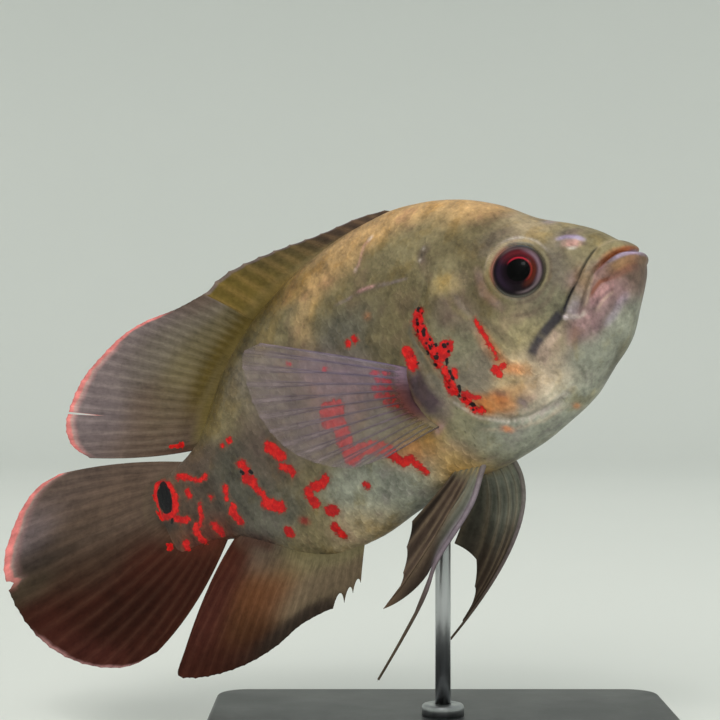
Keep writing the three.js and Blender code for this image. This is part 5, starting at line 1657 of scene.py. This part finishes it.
def makeMembrane(name, fin, material, perRay):
    rays, rows = fin["rays"], finLook["rows"]
    k = np.linspace(0, rays - 1, (rays - 1) * perRay + 1)
    if "slit" in fin:
        at, width, _ = fin["slit"]
        extra = (at + width * np.linspace(-1.2, 1.2, 13)) * (rays - 1)
        k = np.unique(np.round(np.append(k, extra), 4))
    steps = np.concatenate([np.linspace(0, 0.88, rows - 12, endpoint=False), np.linspace(0.88, 1.0, 12)])
    t, step = np.meshgrid(k / (rays - 1), steps)
    k = t * (rays - 1)
    out = np.clip(step * fin["reach"](fin, k, t), 0, 1)
    straight = fin["point"](fin, t, out)
    normals = finNormals(fin, t, np.clip(out, 0.002, 0.998))
    near = np.abs(k - np.round(k))
    thick = finLook["membrane"][0] * (1 - out) + finLook["membrane"][1] * out
    foot = fin["foot"] * (1 - smooth(-0.1, fin["sheath"], out)) ** 2.2
    foot = foot * (0.35 + 0.65 * smooth(0, 0.05, t) * (1 - smooth(0.95, 1, t)))
    thick = np.maximum(thick, foot) + 0.07 * np.exp(-((near / 0.12) ** 2)) * (1 - out)
    thick = thick * np.where(step > 0.985, 0.55, 1)
    front, back = straight + normals * thick[..., None], straight - normals * thick[..., None]
    count, across = t.shape
    points = placeInWorld(np.vstack([front.reshape(-1, 3), back.reshape(-1, 3)]))
    quads = gridFaces(count, across)
    size = count * across
    index = np.arange(size).reshape(count, across)
    edge = np.concatenate([index[0], index[1:, -1], index[-1, -2::-1], index[-2:0:-1, 0]])
    after = np.roll(edge, -1)
    wall = np.stack([after, edge, edge + size, after + size], 1)
    mesh = makeMesh(name, points, [quads, quads[:, ::-1] + size, wall])
    facesOut(mesh)
    ridges = np.exp(-((near / 0.2) ** 2))
    tone = finTone(fin, t, out, step)
    ridgePaint, share = fin["ridge"]
    tone = blend(tone, ridgePaint, share * ridges * smooth(0.05, 0.3, out) * (1 - 0.5 * smooth(0.6, 1, out)))
    forked = 0.4 * np.abs(np.sin(2 * np.pi * k)) * smooth(0.4, 0.6, out)
    darker = fin["stripe"] * (np.exp(-(((near - 0.5) / 0.25) ** 2)) + forked)
    tone = tone * (1 - darker * smooth(0.04, 0.25, out))[..., None]
    tones = np.vstack([tone.reshape(-1, 3)] * 2)
    if fin["bodyTone"] > 0:
        body = fin["bodyTone"] * (1 - smooth(0.02, fin["bodyReach"], np.tile(out.ravel(), 2)))
        flesh = fleshTone(flankPlace(pointsOf(mesh))[0])
        tones = tones * (1 - body[:, None]) + flesh * body[:, None]
    storePoints(mesh, "tone", tones)
    markFin(mesh, fin)
    opaque = ridges * 0.35 + 1.6 * (1 - smooth(0.0, fin["solidTo"], out)) + 0.3 * (1 - smooth(0.0, 0.05, t))
    for label, values in (("ray", k), ("out", out), ("opaque", np.clip(opaque, 0, 1))):
        storePoints(mesh, label, np.tile(values.ravel(), 2))
    return makePiece(name, mesh, material)


def markFin(mesh, fin):
    marked = fin["marked"]
    storeMarks(mesh, {"red": redMarks if marked else {}, "inky": inkMarks if marked else {}}, 0)


def rayLines(fin):
    # centre lines of the rays in place across, out and thickness; soft rays fork twice
    rays, (thick, thin) = fin["rays"], fin["rayThick"]
    lines = []

    def add(t, start, thickness):
        end = fin["reach"](fin, t[-1:] * (rays - 1), t[-1:])[0] * 0.992
        if end > start + 0.05:
            out = np.linspace(start, end, len(t))
            lines.append((t, out, np.linspace(*thickness, len(t)) * slender))

    for ray in range(rays):
        t = ray / (rays - 1)
        spread = 1 / (rays - 1)
        slender = np.interp(t, [0, 0.06, 0.94, 1], [0.85, 1, 1, 0.8])
        if ray == 0 and "firstRay" in fin:
            add(np.full(24, t), 0.0, fin["firstRay"])
            continue
        if not fin["forks"] or ray < fin.get("notch", (0, 0))[0]:
            add(np.full(16, t), 0.0, (thick, thin))
            continue
        lines.append((np.full(9, t), np.linspace(0, 0.5, 9), np.linspace(thick, 0.62 * thick, 9) * slender))
        ease = smooth(0, 1, np.linspace(0, 1, 6))
        for side in (-1, 1):
            inner = np.clip(t + side * spread * 0.14 * ease, 0, 1)
            lines.append((inner, np.linspace(0.46, 0.72, 6), np.linspace(0.52, 0.4, 6) * thick * slender))
            for twig in (-1, 1):
                outer = np.clip(t + spread * (side * 0.14 + (side * 0.09 + twig * 0.1) * ease), 0, 1)
                add(outer, 0.68, (0.36 * thick, thin * 0.7))
    return lines


def makeRays(name, fin, material, tree):
    points, edges, thick, acrossAt, outAt = [], [], [], [], []
    for t, out, radius in rayLines(fin):
        start = len(thick)
        points.append(fin["point"](fin, t, out))
        edges += [(start + i, start + i + 1) for i in range(len(t) - 1)]
        thick += list(radius)
        acrossAt.append(t)
        outAt.append(out)
    mesh = bpy.data.meshes.new(name)
    mesh.from_pydata(placeInWorld(np.vstack(points)).tolist(), edges, [])
    acrossAt, outAt = np.concatenate(acrossAt), np.concatenate(outAt)
    storePoints(mesh, "thick", np.array(thick) * mm)
    storePoints(mesh, "ray", acrossAt * (fin["rays"] - 1))
    storePoints(mesh, "out", outAt)
    storePoints(mesh, "opaque", np.ones(len(thick)))
    rayPaint, share, bright = fin["rayPaint"]
    reach = fin["reach"](fin, acrossAt * (fin["rays"] - 1), acrossAt)
    tone = finTone(fin, acrossAt, outAt, outAt / reach) * bright
    storePoints(mesh, "tone", blend(tone, rayPaint, np.full(len(tone), share)))
    piece = growPiece(name, mesh, tree, {"Sides": 6, "Material": material})
    markFin(piece.data, fin)
    return piece


def readyFin(fin, point, reach=finReach, **more):
    fin = {"marked": True, "bodyTone": 1.0, "solidTo": 0.2, "point": point, "reach": reach, **fin, **more}
    if point is not pelvicPoint:
        fin["rootLine"], fin["tipLine"] = smoothPath(fin["root"]), smoothPath(fin["tips"])
    return fin


# Paired fins
pectoral = {
    "hinge": (65.2, 16.4),
    "swing": 24.0,
    "rays": 14,
    "cup": 1.6,
    "root": [(-0.6, -4.6), (2.6, -11.2), (-1.0, -20.4)],
    "tuck": (0.9, 2.3, 3.6),  # how far the root turns in towards the flank, from its first ray to its last
    "tips": [
        (33, 17.2), (38.4, 16.4), (40.6, 9), (41.2, 2), (40.2, -5), (37.4, -11.8), (32.2, -17.6),
        (25, -22), (15.6, -23.2),
    ],
    "sheath": 0.16,
    "foot": 0.7,
    "rayThick": (0.26, 0.06),
    "forks": True,
    "stripe": 0.1,
    "ridge": ("indigo", 0.4),
    "marked": False,
    "bodyTone": 0.0,
    "solidTo": 0.14,
    "patches": [
        (0.5, 0.015, 0.6, 0.055, "plum", 0.6), (0.1, 0.35, 0.15, 0.3, "violet", 0.7),
        (0.4, 0.09, 0.35, 0.07, "maroon", 1.35),
        (0.5, 0.6, 0.5, 0.3, "mauve", 1.5), (0.9, 0.3, 0.15, 0.3, "khaki", 0.9),
        (0.5, 0.95, 0.6, 0.2, "mauve", 1.5),
    ],
    "margins": [],
    "rayPaint": ("indigo", 0.7, 0.9),
}


def pectoralPoint(fin, t, out):
    side, (hingeS, hingeY) = fin["side"], fin["hinge"]
    swing = math.radians(fin["swing"])
    back = np.array([-math.cos(swing), side * math.sin(swing), 0])
    outward = np.array([math.sin(swing), side * math.cos(swing), 0])
    root, tip = along(fin["rootLine"], t), along(fin["tipLine"], t)
    place = root + (tip - root) * out[..., None]
    tuck = np.interp(t, [0, 0.5, 1], fin["tuck"]) * (1 - out) ** 4
    cup = fin["cup"] * np.sin(np.pi * out) * (0.5 - t) - tuck
    hinge = np.array([fish["originS"] - hingeS, side * hingeY, 0])
    return hinge + place[..., :1] * back + cup[..., None] * outward + place[..., 1:] * np.array([0, 0, 1.0])


pelvics = {
    -1: {
        "root": [(61.4, 4.4, -32.2), (68.4, 5.6, -30.8)],
        "tips": [
            (108.6, 16, -71.3), (100.2, 13, -55.2), (95, 12.5, -53), (91.6, 12, -49.2), (88, 11.4, -43.6),
            (84.2, 10.2, -38.2),
        ],
        "bow": (2.7, 0.4),
        "bend": [(0.2, 0.1, 1.2), (0.46, 0.12, -2.6)],  # of the first ray: place out, reach, size
        "free": 0.46,
        "ragged": 0.03,
        "patches": [
            (0.0, 0.25, 0.05, 0.28, "violet", 0.55), (0.0, 0.85, 0.1, 0.3, "coal", 1.1),
            (0.15, 0.2, 0.12, 0.2, "sage", 0.6),
            (0.6, 0.3, 0.25, 0.22, "umber", 0.7), (0.72, 0.65, 0.12, 0.2, "umber", 0.6),
            (0.45, 0.82, 0.12, 0.15, "umber", 1.0),
            (0.3, 0.97, 0.1, 0.12, "bark", 0.75), (0.17, 0.6, 0.08, 0.2, "umber", 0.55),
            (0.95, 0.5, 0.1, 0.5, "coal", 0.9),
            (0.5, 0.03, 0.5, 0.08, "moss", 0.8),
        ],
    },
    1: {
        "root": [(57, 4.2, -33.4), (67.4, 4.6, -32.2)],
        "tips": [
            (97, 16, -66.4), (90.6, 15, -63), (86, 14, -60.3), (83.4, 13, -57), (79.6, 12, -51.0),
            (82.4, 9.4, -45.0),
        ],
        "bow": (10.8, 0.6),
        "free": 0.93,
        "ragged": 0.02,
        "patches": [
            # painted light: the pale sage patches near the root and front of this far fin light a fin that
            # lies in shade
            (0.1, 0.25, 0.15, 0.25, "sage", 0.75), (0.5, 0.3, 0.3, 0.3, "sage", 0.66),
            (0.2, 0.62, 0.2, 0.16, "umber", 0.8),
            (0.4, 0.9, 0.5, 0.2, "umber", 0.55), (0.9, 0.6, 0.15, 0.4, "slate", 0.9),
            (0.0, 0.4, 0.03, 0.3, "violet", 0.35),
        ],
    },
}
pelvicLook = {
    "rays": 6,
    "sheath": 0.16,
    "foot": 0.8,
    "bodyReach": 0.12,
    "rayThick": (0.42, 0.12),
    "firstRay": (0.9, 0.36),
    "forks": True,
    "stripe": 0.45,
    "ridge": ("drab", 0.7),
    "marked": False,
    "bodyTone": 0.5,
    "margins": [],
    "rayPaint": ("drab", 0.4, 1.1),
}


def pelvicPoint(fin, t, out):
    last = len(fin["tips"]) - 1
    root, ends = np.array(fin["root"], float), np.array(fin["tips"], float)
    base = root[0] + (root[1] - root[0]) * t[..., None]
    tip = np.stack([np.interp(t * last, range(last + 1), ends[:, i]) for i in range(3)], -1)
    place = base + (tip - base) * out[..., None]
    bow = 4 * out * (1 - out) * (fin["bow"][0] * (1 - t) + fin["bow"][1] * t)
    for at, reach, size in fin.get("bend", []):
        bow = bow + size * np.exp(-(((out - at) / reach) ** 2)) * (1 - t) ** 4
    return np.stack([fish["originS"] - place[..., 0] + bow, fin["side"] * place[..., 1], place[..., 2]], -1)


def pelvicReach(fin, k, t):
    # the web leaves the long first ray early and is cut back between the others
    between = np.abs(np.sin(np.pi * k))
    leave = np.minimum(k / 0.14, 1) * np.interp(k, [0, 0.14, 0.55, 1], [1, 1, 0.5, 0]) * (k < 1)
    return 1 - fin["ragged"] * (k > 1) * between**0.8 - (1 - fin["free"]) * leave


finFinish, clearFinish = finMaterial("oscarFin"), finMaterial("oscarClearFin", 0.17)
rodTree = rayTree()
finPieces = {}


def makeFin(name, node, fin, material, perRay=8):
    finPieces[node] = [
        makeMembrane(name + "Membrane", fin, material, perRay),
        makeRays(name + "Rays", fin, material, rodTree),
    ]
    print(name, [len(piece.data.polygons) for piece in finPieces[node]])


for name, fin in fins.items():
    makeFin(name, fin["node"], readyFin(fin, medianPoint), finFinish)
for side, sideName, word in ((-1, "Right", "right"), (1, "Left", "left")):
    own = {"side": side, "facing": side}
    fin = readyFin(pectoral, pectoralPoint, **own)
    makeFin("pectoral" + sideName, "pectoral_fin_" + word, fin, clearFinish)
    fin = readyFin({**pelvicLook, **pelvics[side]}, pelvicPoint, pelvicReach, **own)
    makeFin("pelvic" + sideName, "pelvic_fin_" + word, fin, finFinish, perRay=14)

# Stand
stand = {
    "length": 122.0,
    "width": 84.0,
    "height": 10.0,
    "corner": 9.0,
    "bevel": 1.2,
    "around": 64,
    "rodRadius": 2.0,
    "rodTop": 68.6,
    "collarRadius": 5.5,
    "collarHeight": 3.0,
}


def baseMaterial():
    material, shader, w = newMaterial("satinCharcoal", {"Coat Weight": 0.15, "Coat Roughness": 0.35})
    place = w.add("ShaderNodeTexCoord", out=3)
    grain, wear = w.noise(place, 900.0, 2.0), w.noise(place, 60.0, 4.0)
    colour = grain.step(0.3, 0.7).between("1c1d1f", "27282b")
    colour = colour.mixed("3a3b3e", wear.step(0.55, 0.8) * 0.25)
    bump = w.add("ShaderNodeBump", {"Strength": 0.3, "Distance": 0.00008, "Height": grain})
    plug(shader, {"Base Color": colour, "Roughness": 0.4 + (wear - 0.5) * 0.2, "Normal": bump})
    return material


def steelMaterial():
    material, shader, w = newMaterial("brushedSteel", {"Metallic": 1.0})
    place = w.add("ShaderNodeTexCoord", out=3)
    brush = w.noise(place, 700.0, 2.0, 0.6, (1.0, 1.0, 0.03))
    colour = brush.between("9fa1a4", "c6c8ca")
    bump = w.add("ShaderNodeBump", {"Strength": 0.15, "Distance": 0.00005, "Height": brush})
    plug(shader, {"Base Color": colour, "Roughness": 0.26 + brush * 0.14, "Normal": bump})
    return material


def lathe(name, profile, material, segments=56):
    # a closed turned piece about the Z axis; the profile runs round it, in mm
    profile = np.array(profile, float)
    turn = np.linspace(0, 2 * np.pi, segments, endpoint=False)
    rings = np.stack([
        profile[:, :1] * np.cos(turn), profile[:, :1] * np.sin(turn), profile[:, 1:] + 0 * turn,
    ], -1)
    quads = gridFaces(len(profile) + 1, segments, closed=True) % (len(profile) * segments)
    mesh = makeMesh(name, rings.reshape(-1, 3) * mm, [quads])
    facesOut(mesh)
    return makePiece(name, mesh, material)


def roundedPlate():
    # rings of the base's outline, up one side, with a rounded upper and lower edge
    corner, bevel, around = stand["corner"], stand["bevel"], stand["around"]
    turn = np.linspace(0, 2 * np.pi, around, endpoint=False)
    quarter = np.floor(turn / (np.pi / 2)).astype(int)
    signs = np.array([(1, 1), (-1, 1), (-1, -1), (1, -1)])[quarter]
    middle = signs * [stand["length"] / 2 - corner, stand["width"] / 2 - corner]
    turn = turn + (turn - (quarter + 0.5) * np.pi / 2) * (1 / 15)
    arc = np.stack([np.cos(turn), np.sin(turn)], 1)
    rings = []
    bend = np.linspace(0, np.pi / 2, 6)
    inset = np.concatenate([bevel * (1 - np.sin(bend)), bevel * (1 - np.cos(bend))])
    level = np.concatenate([bevel * (1 - np.cos(bend)), stand["height"] - bevel * (1 - np.sin(bend))])
    for pull, z in zip(inset, level):
        flat = middle + arc * (corner - pull)
        rings.append(np.hstack([flat, np.full((around, 1), z)]))
    points = np.vstack([*rings, [[0, 0, 0]], [[0, 0, stand["height"]]]])
    mesh = makeMesh("standBase", points * mm, cappedFaces(len(rings), around))
    facesOut(mesh)
    return mesh


charcoal, steel = baseMaterial(), steelMaterial()
basePiece = makePiece("standBase", roundedPlate(), charcoal)
baseTop, rodR = stand["height"], stand["rodRadius"]
rod = lathe("standRod", [(0.001, baseTop), (rodR, baseTop), (rodR, 40), (rodR, stand["rodTop"]),
                         (rodR * 0.7, stand["rodTop"] + 0.6), (0.001, stand["rodTop"] + 0.8)], steel)
outer, tall = stand["collarRadius"], baseTop + stand["collarHeight"]
collar = lathe("standCollar", [
    (rodR + 0.05, baseTop), (outer, baseTop), (outer, tall - 1.0), (outer - 0.15, tall - 0.5),
    (outer - 0.5, tall - 0.12), (outer - 1.0, tall), (rodR + 0.05, tall),
], steel)
print("stand ready")

# Riding and standing for the solids
fleshNodes = ["head", "lower_jaw", "gill_cover_right", "gill_cover_left", "trunk", "tail_stem"]
slots = {entry["node"]: entry["material_slot"] for entry in frame["record"]["subparts"]}


def settle(piece, slot, *nodes):
    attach(piece, "root")
    if nodes:
        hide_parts(*nodes)


settle(skin, "skin", *fleshNodes)
for piece in coatPieces:
    settle(piece, "skin")
for side, node in ((-1, "eye_right"), (1, "eye_left")):
    settle(eyes[side], "eye", node)
for node, (membrane, rays) in finPieces.items():
    settle(membrane, slots[node], node)
    settle(rays, slots[node])
for piece, node in ((basePiece, "stand_base"), (rod, "stand_rod"), (collar, "stand_collar")):
    settle(piece, slots[node], node)

# Floor and light
room = {
    "floor": 1.5,
    "wall": 2.6,
    "height": 2.6,
    "around": 96,
    "paint": "dfe3df",
    "lightPaint": "e4e7e3",
    "world": 0.5,
    "lights": [  # place, power, size, colour
        ((-0.55, -1.2, 1.15), 15.0, 1.1, (1.0, 0.96, 0.9)),
        ((1.2, -0.9, 0.5), 5.0, 0.9, (1.0, 0.98, 0.94)),
        ((0.1, 0.9, 1.5), 6.0, 1.0, (1.0, 0.98, 0.92)),
        ((0.0, -1.0, -0.02), 4.0, 0.8, (0.9, 1.0, 0.97)),
        ((-0.35, -1.3, 1.5), 2.0, 0.22, (1.0, 1.0, 0.98)),
    ],
    "aim": (-0.02, 0, 0.09),
    "mirrored": 0.5,
}


def makeRoom():
    # a pale floor that curves up into a wall all round
    around = room["around"]
    turn = np.linspace(0, 2 * np.pi, around, endpoint=False)
    bend = np.linspace(0, np.pi / 2, 18)
    curved = room["floor"] + (room["wall"] - room["floor"]) * np.sin(bend[1:])
    reach = np.concatenate([np.linspace(0.05, room["floor"], 10), curved])
    level = np.concatenate([np.zeros(10), room["height"] * (1 - np.cos(bend[1:]))])
    reach, level = reach[:, None], level[:, None]
    rings = np.stack([reach * np.cos(turn), reach * np.sin(turn), level + 0 * turn], -1)
    points = np.vstack([rings.reshape(-1, 3), [[0, 0, 0]]])
    mesh = makeMesh("floor", points, cappedFaces(len(reach), around)[:2])
    if mesh.polygons[0].normal.z < 0:
        mesh.flip_normals()
    material, shader, w = newMaterial("paleFloor", {"Roughness": 0.7})
    place = w.add("ShaderNodeTexCoord", out=3)
    cloud = w.noise(place, 3.0, 3.0)
    plug(shader, {"Base Color": cloud.between(room["paint"], room["lightPaint"])})
    makePiece("floor", mesh, material)
    world = bpy.data.worlds.new("studio")
    world.use_nodes = True
    world.node_tree.nodes["Background"].inputs["Color"].default_value = (0.94, 0.98, 0.97, 1)
    world.node_tree.nodes["Background"].inputs["Strength"].default_value = room["world"]
    scene.world = world
    for number, (place, power, size, colour) in enumerate(room["lights"]):
        data = bpy.data.lights.new("softbox" + str(number), "AREA")
        data.energy, data.size, data.color = power, size, colour
        lamp = bpy.data.objects.new(data.name, data)
        lamp.location = place
        aim = Vector(room["aim"]) - Vector(place)
        lamp.rotation_euler = aim.to_track_quat("-Z", "Y").to_euler()
        lamp.visible_glossy = size < room["mirrored"]  # only the small lamp shows in the eyes
        scene.collection.objects.link(lamp)


makeRoom()
